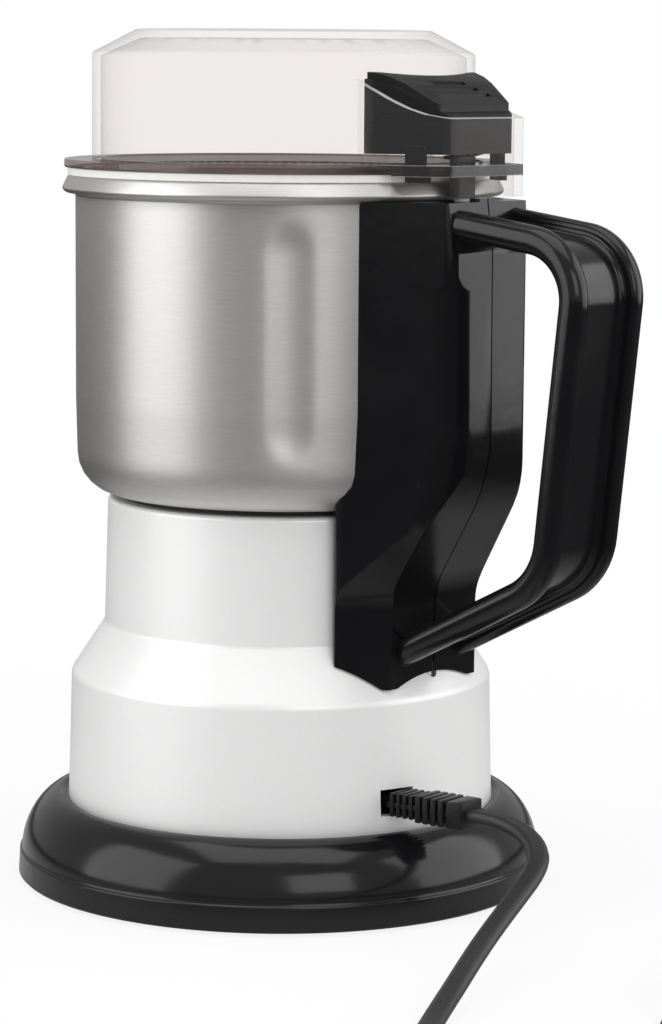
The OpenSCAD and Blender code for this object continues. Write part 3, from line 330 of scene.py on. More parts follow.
def sweep(bm, section, frames):
    """Extrudes a flat section, (side, up) in millimetres, from frame to frame, without inner walls."""
    face = bm.faces.new([bm.verts.new(frames[0] @ Vector((x * MM, y * MM, 0))) for x, y in section])
    for i, (before, after) in enumerate(zip(frames, frames[1:])):
        made = bmesh.ops.extrude_face_region(bm, geom=[face])["geom"]
        if i and face.is_valid:
            bmesh.ops.delete(bm, geom=[face], context="FACES_ONLY")
        face = next(g for g in made if isinstance(g, bmesh.types.BMFace))
        bmesh.ops.transform(bm, matrix=after @ before.inverted(), verts=face.verts)
    return bm


def flat_lead(wide, thick, groove=0.35, n=7):
    """Half-round sides and a shallow groove down each flat face, between the two cores."""
    bow, reach = thick / 2, (wide - thick) / 2
    side = [(reach + bow * math.cos(a), bow * math.sin(a)) for a in
            (math.radians(-90 + 180 * k / (n - 1)) for k in range(n))]
    return [*side, (0, bow - groove), *((-x, -y) for x, y in side), (0, groove - bow)]


# %% Cord and plug
jacket = finishes["cord_black"] = Finish("soft_black_cord", (0.021, 0.021, 0.022), 0.42)
jacket.feed(Roughness=jacket.cloud(700) * 0.14 + 0.36)
jacket.relief(jacket.cloud(3000), 0.00004)
bright = finishes["steel_bright"] = Finish("bright_steel", (0.66, 0.65, 0.63), 0.22, Metallic=1.0)
bright.feed(Roughness=bright.cloud(900, (1, 1, 0.1)) * 0.2 + 0.15)
cord_frames = stations([p * MM for p in smooth_route([p / MM for p in cord_line], 3)])
cord = add_piece("flat_cord", sweep(bmesh.new(), flat_lead(CORD_WIDE, CORD_THICK), cord_frames),
                 "base", "cord_black", ["supply_cord", "cord_coil", "cord_tail"], sharp=50)
plug = polished("plug_body", "moulded_plug", "base", "cord_black")
pins = polished("plug_pins", "round_pins", "base", "steel_bright")

# %% [markdown]
# ## Studio light
# The set is a white sweep with four soft boxes: one on each side, one above and a small one in front. A plain
# world fills the shadows. The world and the floor look white to rays that come from the camera or through the
# lid, while the grinder itself gets only the light of the lamps and of a dimmer world. Near the grinder the
# floor keeps a little of its own shading, which leaves a faint shadow. Gloss sees the floor through a painted
# shade: a little darker near the grinder, as if the grinder shaded it, and nearly black further out.

# %% World and lamps
world = bpy.data.worlds.new("studio")
world.use_nodes = True
bpy.context.scene.world = world
tree = world.node_tree
lit, seen = tree.nodes["Background"], tree.nodes.new("ShaderNodeBackground")
path = tree.nodes.new("ShaderNodeLightPath")
either = tree.nodes.new("ShaderNodeMath")
either.operation = "MAXIMUM"
chosen = tree.nodes.new("ShaderNodeMixShader")
lit.inputs["Color"].default_value, lit.inputs["Strength"].default_value = (1, 1, 1, 1), 0.45
seen.inputs["Color"].default_value, seen.inputs["Strength"].default_value = (1, 1, 1, 1), 1.0
tree.links.new(path.outputs["Is Camera Ray"], either.inputs[0])
tree.links.new(path.outputs["Is Transmission Ray"], either.inputs[1])
tree.links.new(either.outputs[0], chosen.inputs["Fac"])
tree.links.new(lit.outputs[0], chosen.inputs[1])
tree.links.new(seen.outputs[0], chosen.inputs[2])
tree.links.new(chosen.outputs[0], tree.nodes["World Output"].inputs["Surface"])


LAMP_AIM = Vector((0, 0, 0.1))  # the middle of the grinder


def soft_box(name, place, size, watts):
    """A rectangular lamp at a place in the camera's own directions, turned to the grinder."""
    lamp = bpy.data.objects.new(name, bpy.data.lights.new(name, "AREA"))
    lamp.data.shape, (lamp.data.size, lamp.data.size_y) = "RECTANGLE", size
    lamp.data.energy = watts
    lamp.location = in_view(*place)
    lamp.rotation_euler = (LAMP_AIM - lamp.location).to_track_quat("-Z", "Y").to_euler()
    bpy.context.scene.collection.objects.link(lamp)


soft_box("left_box", (-1.0, -0.35, 0.4), (0.9, 1.2), 6.5)
soft_box("right_box", (1.0, -0.05, 0.4), (1.0, 1.2), 7)
soft_box("top_box", (0, -0.2, 1.3), (1.2, 1.2), 7.5)
soft_box("front_box", (0.5, -1.5, 0.7), (0.8, 0.8), 4)
print("four soft boxes")

# %% White floor
floor_bm = bmesh.new()
bmesh.ops.create_grid(floor_bm, x_segments=1, y_segments=1, size=4)
floor_mesh = bpy.data.meshes.new("floor")
floor_bm.to_mesh(floor_mesh)
floor_bm.free()
floor = bpy.data.objects.new("floor", floor_mesh)
bpy.context.scene.collection.objects.link(floor)
sweep_paint = Finish("white_sweep", (0.86, 0.86, 0.86), 0.9, Specular_IOR_Level=0.2)
nearness = sweep_paint.node("VectorMath", {"operation": "LENGTH"}, sweep_paint.place(), out=1)
whiteness = sweep_paint.spread(nearness, 0.16, 0.34, 0.86, 1.0)
camera_ray, glossy_ray, lid_ray = (sweep_paint.node("LightPath", {}, out="Is " + kind + " Ray")
                                   for kind in ("Camera", "Glossy", "Transmission"))
black, glow = (sweep_paint.node("Emission", {}, (level,) * 3, 1.0) for level in (0, 1))
# Painted shade: rays of gloss see the floor mixed toward black, a little near the grinder and almost fully further
# out.
gloss_painted_shade = glossy_ray * sweep_paint.spread(nearness, 0.08, 0.26, 0.3, 0.94)
floor_under_painted_shade = sweep_paint.node("MixShader", {}, gloss_painted_shade, Amount(sweep_paint, sweep_paint.shader.outputs[0]), black)
seen_white = camera_ray.maths("MAXIMUM", camera_ray, lid_ray) * whiteness
white = sweep_paint.node("MixShader", {}, seen_white, floor_under_painted_shade, glow)
sweep_paint.show(white)
floor_mesh.materials.append(sweep_paint.material)
print("floor of", [round(x, 1) for x in floor.dimensions[:2]], "m")

# %% [markdown]
# ## A finish for every slot
# Each row is one real material: its colour, a second colour that it drifts to in patches, its roughness from
# and to, the number of those patches to a metre, and how deep its surface is textured. Moulded plastic has
# soft broad patches, cast and pressed metal has finer ones. The grinder is a fifth of a metre high, so patches
# that are to be small on it are counted in hundreds.

# %% Table of finishes
PLAIN = {  # slot: name, colour, second colour, roughness from, to, patches per metre, relief in metres, constants
    "black_gloss": (
        "gloss_black_moulding", (0.005, 0.005, 0.006), (0.008, 0.008, 0.009), 0.13, 0.19, 60, 5e-5,
        {"Specular_IOR_Level": 0.38}),
    "silver_paint": (
        "silver_painted_drum", (0.88, 0.88, 0.875), (0.85, 0.85, 0.845), 0.34, 0.42, 900, 1.5e-5,
        {"Metallic": 0.22}),
    "white_rubber": (
        "white_seal_rubber", (0.86, 0.85, 0.82), (0.80, 0.79, 0.76), 0.45, 0.6, 700, 4e-5, {}),
    "black_rubber": (
        "black_rubber", (0.018, 0.018, 0.018), (0.030, 0.030, 0.029), 0.55, 0.75, 500, 6e-5, {}),
    "button_black": (
        "matt_black_moulding", (0.007, 0.007, 0.008), (0.010, 0.010, 0.011), 0.34, 0.44, 1500, 3e-5,
        {"Specular_IOR_Level": 0.22}),
    "base_black": (
        "black_glass_nylon", (0.022, 0.022, 0.023), (0.032, 0.032, 0.033), 0.4, 0.55, 800, 5e-5, {}),
    "zinc": (
        "zinc_plated_steel", (0.62, 0.63, 0.64), (0.52, 0.53, 0.55), 0.28, 0.42, 900, 2e-5, {"Metallic": 1.0}),
    "copper": (
        "turned_copper", (0.80, 0.42, 0.26), (0.62, 0.30, 0.18), 0.2, 0.35, 900, 2e-5, {"Metallic": 1.0}),
    "bronze": (
        "sintered_bronze", (0.55, 0.38, 0.17), (0.44, 0.30, 0.14), 0.35, 0.5, 2500, 4e-5, {"Metallic": 1.0}),
    "natural_plastic": (
        "natural_acetal", (0.80, 0.78, 0.71), (0.76, 0.74, 0.67), 0.35, 0.45, 500, 3e-5,
        {"Subsurface_Weight": 0.08, "Subsurface_Radius": (0.002, 0.002, 0.0015)}),
    "brown_plastic": (
        "brown_phenolic", (0.075, 0.038, 0.022), (0.055, 0.028, 0.017), 0.35, 0.5, 900, 4e-5, {}),
    "grey_plastic": (
        "dark_grey_nylon", (0.050, 0.051, 0.056), (0.040, 0.041, 0.045), 0.4, 0.5, 900, 4e-5, {}),
    "carbon": (
        "pressed_carbon", (0.030, 0.030, 0.032), (0.055, 0.055, 0.058), 0.3, 0.5, 3000, 3e-5, {}),
    "spring_steel": (
        "spring_wire", (0.56, 0.55, 0.53), (0.48, 0.47, 0.45), 0.2, 0.32, 1200, 1e-5, {"Metallic": 1.0}),
    "lead_red": (
        "red_lead_jacket", (0.36, 0.035, 0.028), (0.30, 0.028, 0.022), 0.35, 0.45, 700, 3e-5, {}),
    "seal_red": (
        "red_silicone_seal", (0.33, 0.050, 0.035), (0.28, 0.042, 0.030), 0.45, 0.6, 700, 4e-5, {}),
}
for slot, (name, colour, drift, smooth, rough, per_metre, depth, constants) in PLAIN.items():
    finish = Finish(name, colour, smooth, **constants)
    patches = finish.cloud(per_metre)
    finish.feed(Base_Color=finish.mix(patches, colour, drift),
                Roughness=finish.spread(patches, 0.3, 0.7, smooth, rough))
    finish.relief(finish.cloud(per_metre * 2.5), depth)
    finishes[slot] = finish
print(len(finishes), "finishes so far")

# %% [markdown]
# ## Metals that show how they were made
# The jar is deep-drawn and then brushed while it turns, so its scratches run round it and light is drawn out
# into upright bands. The stator is a pack of thin sheets, which shows as fine level lines. The windings show
# the bands of their wire.

# %% Worked metals
steel = Finish("brushed_steel", (0.70, 0.69, 0.67), 0.45, Metallic=1.0, Anisotropic=0.55,
               Anisotropic_Rotation=0.25)
waver = steel.cloud(70, (1, 1, 0.4))  # the hand that holds the brush isn't quite steady
around = steel.node("VectorMath", {"operation": "ADD"}, steel.place((0.07, 0.07, 1)),
                    steel.node("CombineXYZ", {}, 0.0, 0.0, waver * 0.003))
scratches = steel.node("TexNoise", {}, Vector=around, Scale=3200, Detail=4.0, Roughness=0.7)
stain = steel.cloud(22, (1, 1, 0.5))
tone = steel.spread(scratches, 0.25, 0.75, 0.25, 0.75) + stain * 0.3
steel.feed(Base_Color=steel.mix(tone, (0.61, 0.595, 0.575), (0.80, 0.79, 0.77)),
           Roughness=scratches * 0.12 + 0.38)
steel.relief(scratches, 0.00003, 0.5)
finishes["steel_brushed"] = steel

core = Finish("laminated_core", (0.34, 0.34, 0.35), 0.4, Metallic=1.0)
sheets = core.node("TexWave", {"wave_type": "BANDS", "bands_direction": "Z"}, Vector=core.place(), Scale=320,
                   Distortion=0.3)
core.feed(Base_Color=core.mix(sheets, (0.24, 0.24, 0.25), (0.42, 0.42, 0.43)), Roughness=sheets * 0.15 + 0.32)
core.relief(sheets, 0.00006)
finishes["core_steel"] = core

wire = Finish("enamelled_copper_wire", (0.62, 0.25, 0.10), 0.3, Metallic=0.8, Coat_Weight=0.5)
strands = wire.node("TexWave", {"wave_type": "BANDS", "bands_direction": "Z"}, Vector=wire.place(), Scale=420,
                    Distortion=1.2)
wire.feed(Base_Color=wire.mix(strands, (0.36, 0.13, 0.05), (0.70, 0.30, 0.13)), Roughness=strands * 0.2 + 0.22)
wire.relief(strands, 0.0001)
finishes["copper_wire"] = wire
print("worked metals:", steel.material.name, core.material.name, wire.material.name)

# %% [markdown]
# ## Clear lid
# The lid is moulded from a clear styrene with a faint warm tint. Most of the light passes straight through its
# thin walls, so the material mixes a see-through shader and a glossy one. The glossy share grows where a wall
# is seen along its length, which draws the fine lines of the edges. Layer Weight's Facing gives that share: a
# Fresnel node would turn the inner faces into mirrors. The flat flange is thicker and is seen edge on, so a
# band on the height gives it the deeper mauve that the tint adds up to there. Under the button that band is
# painted near black, a painted shade, and the upward faces of the hood's top get a larger share of the pale
# shader, a painted highlight along its rim.

# %% Clear plastic
lid = Finish("clear_styrene", (0.30, 0.235, 0.225), 0.05, Specular_IOR_Level=0.5)
across = lid.node("SeparateXYZ", {}, lid.place(), out=0)
height = lid.node("SeparateXYZ", {}, lid.place(), out=2)
upward = lid.node("SeparateXYZ", {}, lid.node("NewGeometry", {}, out="Normal"), out=2)
flange = lid.spread(height, 0.1838, 0.1840, 1.0, 0.0) * lid.spread(height, 0.1812, 0.1814)
under_button = lid.spread(across, 0.040, 0.050)
# Painted highlight: upward faces along the top of the hood get more of the pale shader, so that its rim reads bright.
rim = lid.spread(upward, 0.4, 0.8) * under_button * lid.spread(height, 0.1850, 0.1856)
grazing = lid.node("LayerWeight", {}, 0.5, out=1) ** 4
# Painted shade: under the button the flange band is near black instead of mauve.
flange_tint_and_painted_shade = lid.mix(under_button, (0.12, 0.082, 0.080), (0.018, 0.016, 0.016))
lid.feed(Roughness=lid.cloud(60) * 0.05 + 0.02, Base_Color=lid.mix(flange, (0.74, 0.72, 0.71), flange_tint_and_painted_shade))
lid.relief(lid.cloud(45), 0.00004)
through = lid.node("BsdfTransparent", {}, (0.968, 0.958, 0.952))
# The painted shade under the button and the painted rim highlight both raise the glossy share.
glossy_share = lid.spread(grazing * 0.55 + flange * (under_button * 0.3 + 0.56) + rim * 0.6, 0.0, 1.0, 0.012, 0.95)
lid.show(lid.node("MixShader", {}, glossy_share, through, Amount(lid, lid.shader.outputs[0])))
finishes["clear_plastic"] = lid
print("clear lid finish with", len(lid.tree.nodes), "nodes")

# %% [markdown]
# ## Base ring
# The black base is one gloss moulding: an upright skirt, a soft roll, and a flat ledge inside it on which the
# drum stands. It is a turned piece, so its section is drawn once and spun. The roll follows a slightly square
# curve, and a fine line parts it from the skirt.

# %% Base ring
RING_R, SKIRT_Z, ROLL_Z, ROLL_TOP_R, RING_WALL = 66.6, 8.0, 21.8, 56.8, 2.4
SQUARENESS = 1.15  # 1 is a round roll, and more than that fills its shoulder


def roll(inset, stops=24):
    """The roll's line from the skirt to the top."""
    quarter = [math.pi / 2 * k / stops for k in range(stops + 1)]
    return [(ROLL_TOP_R + (RING_R - inset - ROLL_TOP_R) * math.cos(a) ** SQUARENESS,
             SKIRT_Z + (ROLL_Z - inset - SKIRT_Z) * math.sin(a) ** SQUARENESS) for a in quarter]


skirt = [(65.1, 0.9), (66.9, 0.9), (67.5, 1.5), (67.2, 7.3, 0.3), (66.75, 7.55, 0.2)]
ledge = [(55.5, 20.8), (52.0, 20.8), (52.0, 23.4), (50.0, 23.4), (50.0, 18.2)]
ring_outline = [*skirt, *roll(0), *ledge, *reversed(roll(RING_WALL))]
add_piece("ring_moulding", turned(ring_outline, 192), "base", "black_gloss", ["base_ring"])

# %% [markdown]
# ## Jar
# The jar is drawn from 0.9 mm sheet: a flat floor with a round corner, a straight wall and a rolled lip. Three
# upright flutes are pressed in from outside, which throw the spices back into the blade. The outline of the
# wall has a point each two millimetres, so that the spun wall is fine enough to be pressed, and every point in
# reach of a flute is then moved inward. Both faces move by the same amount, so the sheet keeps its thickness.

# %% Jar's outline
BOWL_R, SHEET, BOWL_Z, FLOOR_Z, LIP_Z, LIP_R, BUSH_R = 52.4, 0.9, 99.6, 100.5, 179.8, 55.8, 8.2
DRAW_IN, DRAW_Z, DRAW_HIGH = 0.6, 123.6, 24.0  # the wall draws in by this much over this height
wall_heights = range(112, 173, 2)


def wall_r(z):
    """Radius of the wall's outer face."""
    return BOWL_R - max(DRAW_Z - z, 0) * DRAW_IN / DRAW_HIGH


outer_face = [(BUSH_R, BOWL_Z), (BOWL_R - DRAW_IN, BOWL_Z, 10.0), *((wall_r(z), z) for z in wall_heights)]
lip = [(BOWL_R, 175.0, 0.6), (LIP_R - 0.8, 175.4, 0.5), (LIP_R, 176.4, 0.4), (LIP_R - 1.6, LIP_Z, 0.8),
       (BOWL_R - SHEET, LIP_Z, 0.8)]
inner_face = [*((wall_r(z) - SHEET, z) for z in reversed(wall_heights)),
              (BOWL_R - DRAW_IN - SHEET, FLOOR_Z, 9.1), (BUSH_R, FLOOR_Z)]
jar = turned([*outer_face, *lip, *inner_face], 360)
print("jar spun to", len(jar.verts), "points")

# %% Jar's flutes
FLUTES, FLUTE_R, FLUTE_DEEP, FLUTE_LOW, FLUTE_HIGH = (-46, 46, 180), 20.0, 0.95, 120.0, 162.8
FLUTE_REACH = 0.6  # half the angle, in radians, in which a flute can move the wall
SOFT_EDGE, EDGE_LIFT = 0.4, 0.02  # how far the flute's edge runs out, and how much of that is cut off
ROD_REACH = BOWL_R + FLUTE_R - FLUTE_DEEP  # the pressing rod's axis stands outside the wall


def pressed(x, y, z):
    """How far inward a flute moves the wall here, in millimetres, with a soft edge."""
    deepest = 0.0
    past = max(FLUTE_LOW - z, z - FLUTE_HIGH, 0)
    for flute in FLUTES:
        off = math.radians((math.degrees(math.atan2(y, x)) - flute + 180) % 360 - 180)
        room = FLUTE_R ** 2 - past ** 2 - (ROD_REACH * math.sin(off)) ** 2
        if abs(off) < FLUTE_REACH and room > 0:
            depth = BOWL_R - ROD_REACH * math.cos(off) + math.sqrt(room)
            deepest = max(deepest, (depth + math.sqrt(depth * depth + SOFT_EDGE)) / 2 - EDGE_LIFT)
    return deepest


for vert in jar.verts:
    x, y, z = vert.co / MM
    reach = math.hypot(x, y)
    if reach > BOWL_R - 2 and wall_heights[0] < z < wall_heights[-1] + 2:
        vert.co -= Vector((x, y, 0)) / reach * pressed(x, y, z) * MM
add_piece("drawn_jar", jar, "jar", "steel_brushed", ["grinding_bowl"])

# %% [markdown]
# ## Strain relief
# The relief is soft rubber, so it has to bend and not break: it is cut through into thin ribs on a narrow
# core, four fine ones at the drum and wider ones after them. At half height a web joins them, and the cord
# leaves through a solid block. Each part here is a cube with a bevel, set in a row in the relief's own frame.

# %% Cord relief
RELIEF_WIDE, RELIEF_HIGH, RELIEF_LONG = 9.0, 6.6, 22.0
ROOT_R, ROOT_TURN, RELIEF_TURN, RELIEF_Z = 54.4, math.radians(-16), math.radians(4), 28.7
root = Vector((ROOT_R * math.cos(ROOT_TURN), ROOT_R * math.sin(ROOT_TURN), RELIEF_Z)) * MM
relief_seat = Matrix.Translation(root) @ Matrix.Rotation(RELIEF_TURN, 4, "Z")
CORE = 3.4, 3.2
BARS = [  # start, end, width, height, and an edge radius where it isn't the usual one
    (-7.5, 0.2, *CORE), (0, RELIEF_LONG - 1, *CORE),
    (-0.6, RELIEF_LONG - 1, RELIEF_WIDE - 1.6, 1.3),
    *((0.4 + 1.9 * k, 1.5 + 1.9 * k, RELIEF_WIDE - 1.0, RELIEF_HIGH - 0.7) for k in range(4)),
    *((8.3 + 2.25 * k, 9.8 + 2.25 * k, RELIEF_WIDE, RELIEF_HIGH) for k in range(4)),
    (RELIEF_LONG - 4.6, RELIEF_LONG, RELIEF_WIDE, RELIEF_HIGH, 0.45)]


def bar(bm, start, end, wide, high, radius=0.22):
    """A block with soft edges, from start to end along the seat's X axis."""
    place = relief_seat @ Matrix.Translation(((start + end) / 2 * MM, 0, 0))
    size = Matrix.Diagonal((*(Vector((end - start, wide, high)) * MM), 1))
    cube = bmesh.ops.create_cube(bm, size=1.0, matrix=place @ size)
    edges = list({e for v in cube["verts"] for e in v.link_edges})
    bmesh.ops.bevel(bm, geom=edges, offset=radius * MM, offset_type="OFFSET", segments=2, profile=0.5,
                    affect="EDGES", material=-1)


relief = bmesh.new()
for measures in BARS:
    bar(relief, *measures)
add_piece("cord_relief", relief, "base", "button_black", ["strain_relief"])

# %% [markdown]
# ## Press button
# The button is a block with a thin top plate, and three grip grooves across that plate tell the thumb where to
# press. Its CAD form is right, so it becomes a merged copy: outer edges get a small radius, because a sharp
# edge on black plastic shows no light, and the grooves are made wider and deeper, so that they read as dark.

# %% Press button
GROOVES = (53.4, 6.2), (55.7, 8.2), (58.0, 10.2)  # place along X, and half the length
TOP_X, TOP_Z, TOP_FALL = 46, 205.4, 0.4557  # a point on the plate, and how steeply it falls from there
GROOVE_HALF, WIDER, DEEPER = 0.5, 0.25, 1.8


def in_grip(edge):
    """Whether an edge lies in the field of the grooves, which stay sharp."""
    x, y, z = (edge.verts[0].co + edge.verts[1].co) / (2 * MM)
    return 52.4 < x < 59.4 and abs(y) < 11.6 and z > 198


button_bm = joined_flats(merged(nodes["lid_button"].data))
rounded_edges(button_bm, [e for e in outer_edges(button_bm, 30) if not in_grip(e)], 0.35, 3)
button = add_piece("press_button", button_bm, "button", "button_black", ["lid_button"], 40, outward=False)
flat_faces_flat(button)
for vert in button.data.vertices:
    x, y, z = vert.co / MM
    if 52.6 < x < 58.8 and abs(y) < 10.6 and 199 < z < TOP_Z - TOP_FALL * (x - TOP_X) - 0.25:
        vert.co.z -= DEEPER * MM
    for groove_x, half in GROOVES:
        if abs(abs(x - groove_x) - GROOVE_HALF) < 0.05 and abs(y) < half + 0.1 and z > 197:
            aside = math.copysign(WIDER, x - groove_x)
            vert.co += Vector((aside, 0, -TOP_FALL * aside)) * MM

# %% [markdown]
# ## Drum and lid
# The drum and the lid are right as the CAD has them. They only need the facets of their round faces to read as
# smooth, and their real edges to stay crisp, so each becomes a merged copy with edges marked by their angle.

# %% Drum and lid
polished("motor_housing", "drum_moulding", "base", "silver_paint", 30)
polished("lid_cover", "lid_moulding", "lid", "clear_plastic", 26)

# %% [markdown]
# ## Handle
# The handle is moulded in two halves that meet in a seam down the middle. The CAD joins straight runs and
# bends of the strap, which leaves a fine step where they meet. Here each half keeps its column from the CAD,
# cut free of its strap by a prism with the column's own side view. The strap is one face, a rail beside a
# channel, extruded from station to station through both bends, so that light runs down it without a break.

# %% Side views of the column and of the strap
COLUMN_SIDE = [(66.0, 180, 0), (66.0, 175.2, 0), (67.6, 163.2, 8), (68.0, 109, 44), (51.2, 80.5, 16), (50.6, 50, 0)]
STRAP_CORNERS = [(58, 171.2, 0), (101.8, 165.6, 14), (93.1, 86.9, 17), (45, 62.4, 0)]
STRAP_HALF_WIDE, STRAP_HALF_THICK, RAIL_WIDE, CHANNEL_DEEP = 14.0, 3.4, 5.4, 3.6
PER_TURN = 72  # points to a full circle in the bends


def rounded_line(corners):
    """Points (x, z) along a line whose corners are arcs of their third number, in millimetres."""
    line = [Vector(corners[0][:2])]
    for before, (x, z, radius), after in zip(corners, corners[1:], corners[2:]):
        corner = Vector((x, z))
        back, on = ((Vector(p[:2]) - corner).normalized() for p in (before, after))
        half = back.angle(on) / 2
        if radius == 0:
            line.append(corner)
            continue
        centre = corner + (back + on).normalized() * radius / math.sin(half)
        start, end = (corner + way * radius / math.tan(half) for way in (back, on))
        steps = max(2, round(PER_TURN * (math.pi - 2 * half) / math.tau))
        from_angle, to_angle = (math.atan2(p.y - centre.y, p.x - centre.x) for p in (start, end))
        turn = (to_angle - from_angle + math.pi) % math.tau - math.pi
        for k in range(steps + 1):
            angle = from_angle + turn * k / steps
            line.append(centre + Vector((math.cos(angle), math.sin(angle))) * radius)
    return [*line, Vector(corners[-1][:2])]


def strap_section(n=6):
    """Half of the strap's section as (to the side, outward): the back, the rail and half of the channel."""
    wide, thick, floor_at = STRAP_HALF_WIDE, STRAP_HALF_THICK, STRAP_HALF_THICK - CHANNEL_DEEP
    channel_at = wide - RAIL_WIDE
    arcs = [(wide - 2.8, 2.8 - thick, 2.8, -90, 0), (wide - 3.2, thick - 3.2, 3.2, 0, 90),
            (channel_at + 1.8, thick - 1.8, 1.8, 90, 180), (channel_at - 1.6, floor_at + 1.6, 1.6, 0, -90)]
    points = [(0, -thick)]
    for side, out, radius, start, end in arcs:
        for angle in (math.radians(start + (end - start) * k / n) for k in range(n + 1)):
            points.append((side + radius * math.cos(angle), out + radius * math.sin(angle)))
    return [*points, (0, floor_at)]


print("strap in", len(rounded_line(STRAP_CORNERS)), "stations of", len(strap_section()), "points")

# %% [markdown]
# ## Cutters
# A boolean cut needs a closed body for what is to go. Two prisms with the column's side view take off the
# strap and, as a thin blade in the middle, the groove of the seam. A third body follows the side view too and
# rounds the upright corner. It drifts away from the corner at the strap's root and above the foot, so that the
# round runs out there and doesn't thin the wall.

# %% Cutters for the handle halves
CORNER_R, CORNER_Y, CORNER_TURN = 11.0, 7.2, 64  # the corner's radius, the centre's place, the turn in degrees
FADE_FROM, FADE_TO, FADE_OUT = 109.0, 86.0, 4.0  # the round corner runs out between these heights, by this much
ROOT_FADE_FROM, ROOT_FADE_HIGH = 156.0, 10.0
STRAP_CLEAR, SEAM_DEEP, SEAM_HALF_WIDE = 0.03, 0.5, 0.22


def cutter_object(name, bm):
    """An object for a boolean cut, which is taken out again once it has cut."""
    bmesh.ops.recalc_face_normals(bm, faces=bm.faces)
    mesh = bpy.data.meshes.new(name)
    bm.to_mesh(mesh)
    bm.free()
    cutter = bpy.data.objects.new(name, mesh)
    bpy.context.scene.collection.objects.link(cutter)
    return cutter


def side_prism(name, shift, half_wide):
    """All that lies outside the column's side view, moved by a shift and this wide to each side."""
    prism = bmesh.new()
    front = [Vector((p.x + shift, -half_wide, p.y)) * MM for p in rounded_line(COLUMN_SIDE)]
    back = [Vector((130, -half_wide, z)) * MM for z in (50, 180)]
    sheet = prism.faces.new([prism.verts.new(v) for v in [*front, *back]])
    walls = bmesh.ops.extrude_face_region(prism, geom=[sheet])["geom"]
    bmesh.ops.translate(prism, vec=(0, 2 * half_wide * MM, 0),
                        verts=[g for g in walls if isinstance(g, bmesh.types.BMVert)])
    return cutter_object(name, prism)


def route_frames(line, side, drift=lambda z: 0):
    """Frames along a side view: X to the side, Y outward, Z along; the drift moves them out and sideways."""
    frames = []
    for i, p in enumerate(line):
        on, back = line[min(i + 1, len(line) - 1)], line[max(i - 1, 0)]
        along = Vector((on.x - back.x, 0, on.y - back.y)).normalized()
        out, aside = along.cross(Vector((0, 1, 0))), Vector((0, side, 0))
        place = Vector((p.x, 0, p.y)) * MM + (out + aside) * drift(p.y) * MM
        frames.append(Matrix.Translation(place) @ Matrix((aside, out, along)).transposed().to_4x4())
    return frames


def corner_drift(z):
    """How far the corner cutter stands off at this height."""
    return FADE_OUT * min(max((FADE_FROM - z) / (FADE_FROM - FADE_TO), (z - ROOT_FADE_FROM) / ROOT_FADE_HIGH, 0), 1)


def corner_cutter(side):
    """What lies outside a round corner that follows the column's side view."""
    arc = [math.radians(90 - CORNER_TURN * k / 9) for k in range(10)]
    round_corner = [(CORNER_Y + CORNER_R * math.cos(a), STRAP_CLEAR - CORNER_R + CORNER_R * math.sin(a)) for a in arc]
    section = [(4, 0.4), *round_corner, (18.8, -8.8), (26, -8.8), (26, 5), (4, 5)]
    line, corners = [], rounded_line(COLUMN_SIDE)
    for a, b in zip(corners, corners[1:]):
        parts = max(1, round((b - a).length / 4))
        line += [a.lerp(b, k / parts) for k in range(parts)]
    frames = route_frames([p for p in line if p.y > 62], side, corner_drift)
    return cutter_object("corner_cutter", sweep(bmesh.new(), section, frames))


# %% [markdown]
# ## Handle halves
# Each half is cut, its outer column edge above the foot gets a radius where it is still sharp, and the strap
# is swept into the same mesh. Only the right half gets the rounder corner, because the recesses of the left
# half's screws stand too close to it.

# %% Handle halves
strap_cutter = side_prism("strap_cutter", STRAP_CLEAR, 40)
seam_cutter = side_prism("seam_cutter", -SEAM_DEEP, SEAM_HALF_WIDE)


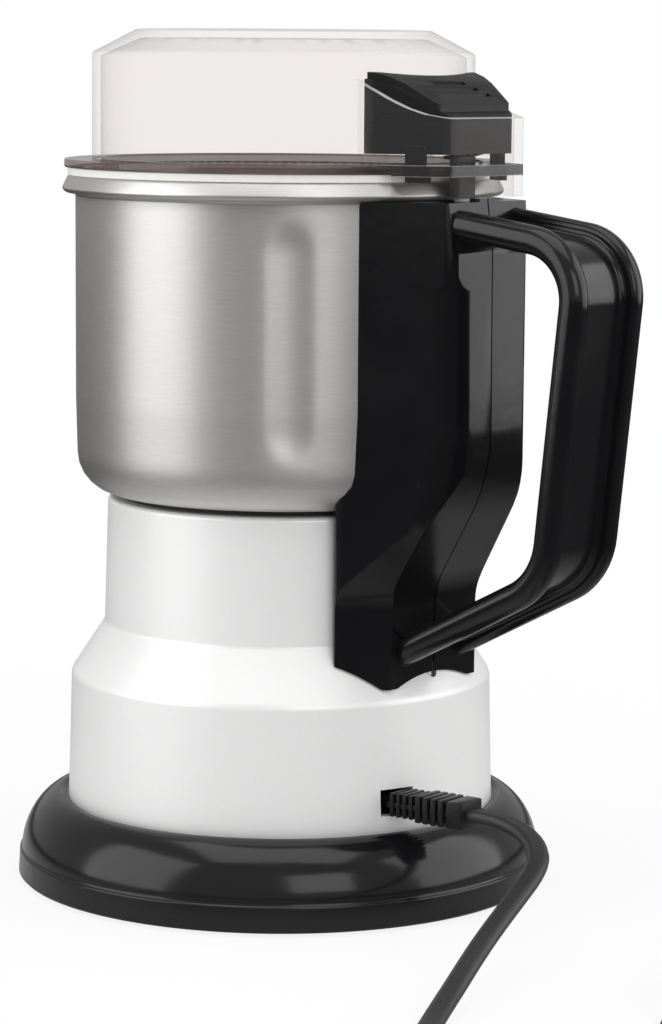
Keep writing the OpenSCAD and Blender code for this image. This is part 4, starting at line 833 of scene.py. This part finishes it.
def cut_free(node, cutters):
    """A merged copy of a CAD node with each cutter taken off; the swept one may touch itself."""
    whole = merged(nodes[node].data)
    mesh = bpy.data.meshes.new("half")
    whole.to_mesh(mesh)
    whole.free()
    half = bpy.data.objects.new("half", mesh)
    bpy.context.scene.collection.objects.link(half)
    for cutter in cutters:
        cut = half.modifiers.new("cut", "BOOLEAN")
        cut.operation, cut.solver, cut.object = "DIFFERENCE", "EXACT", cutter
        cut.use_self = cutter.name == "corner_cutter"
    bpy.context.view_layer.update()
    cut_mesh = bpy.data.meshes.new_from_object(half.evaluated_get(bpy.context.evaluated_depsgraph_get()))
    bpy.data.objects.remove(half)
    return joined_flats(merged(cut_mesh))


def upright_outside(edge):
    """Whether an edge runs up the outer corner of the column, below its round part."""
    (ax, ay, az), (bx, by, bz) = (v.co / MM for v in edge.verts)
    return (min(abs(ay), abs(by)) > 8 and min(ax, bx) > 38 and max(az, bz) < 108
            and abs(az - bz) * MM > 0.5 * edge.calc_length())


corner_object = corner_cutter(-1)
for node, name, side in (("handle_right", "handle_right_half", -1), ("handle_left", "handle_left_half", 1)):
    column = cut_free(node, [strap_cutter, seam_cutter, *([corner_object] if side < 0 else [])])
    edges = [e for e in outer_edges(column, 18, 80) if upright_outside(e)]
    rounded_edges(column, edges, 3.2, 4)
    strap = sweep(bmesh.new(), strap_section(), route_frames(rounded_line(STRAP_CORNERS), side))
    bmesh.ops.recalc_face_normals(strap, faces=strap.faces)
    strap_mesh = bpy.data.meshes.new("strap")
    strap.to_mesh(strap_mesh)
    strap.free()
    column.from_mesh(strap_mesh)
    flat_faces_flat(add_piece(name, column, "jar", "black_gloss", [node], 30, outward=False))
for cutter in (strap_cutter, seam_cutter, corner_object):
    bpy.data.objects.remove(cutter)

# %% [markdown]
# ## Finishes for the CAD nodes
# Most pieces inside the grinder are shown as the CAD has them. Each node's record names the slot that it is
# made of, so one loop gives all of them, and the nodes under the dressed pieces, the right finish.

# %% Every CAD node gets the finish of its slot
for row in frame["record"]["subparts"]:
    node = nodes[row["node"]]
    node.data.materials.clear()
    node.data.materials.append(finishes[row["material_slot"]].material)
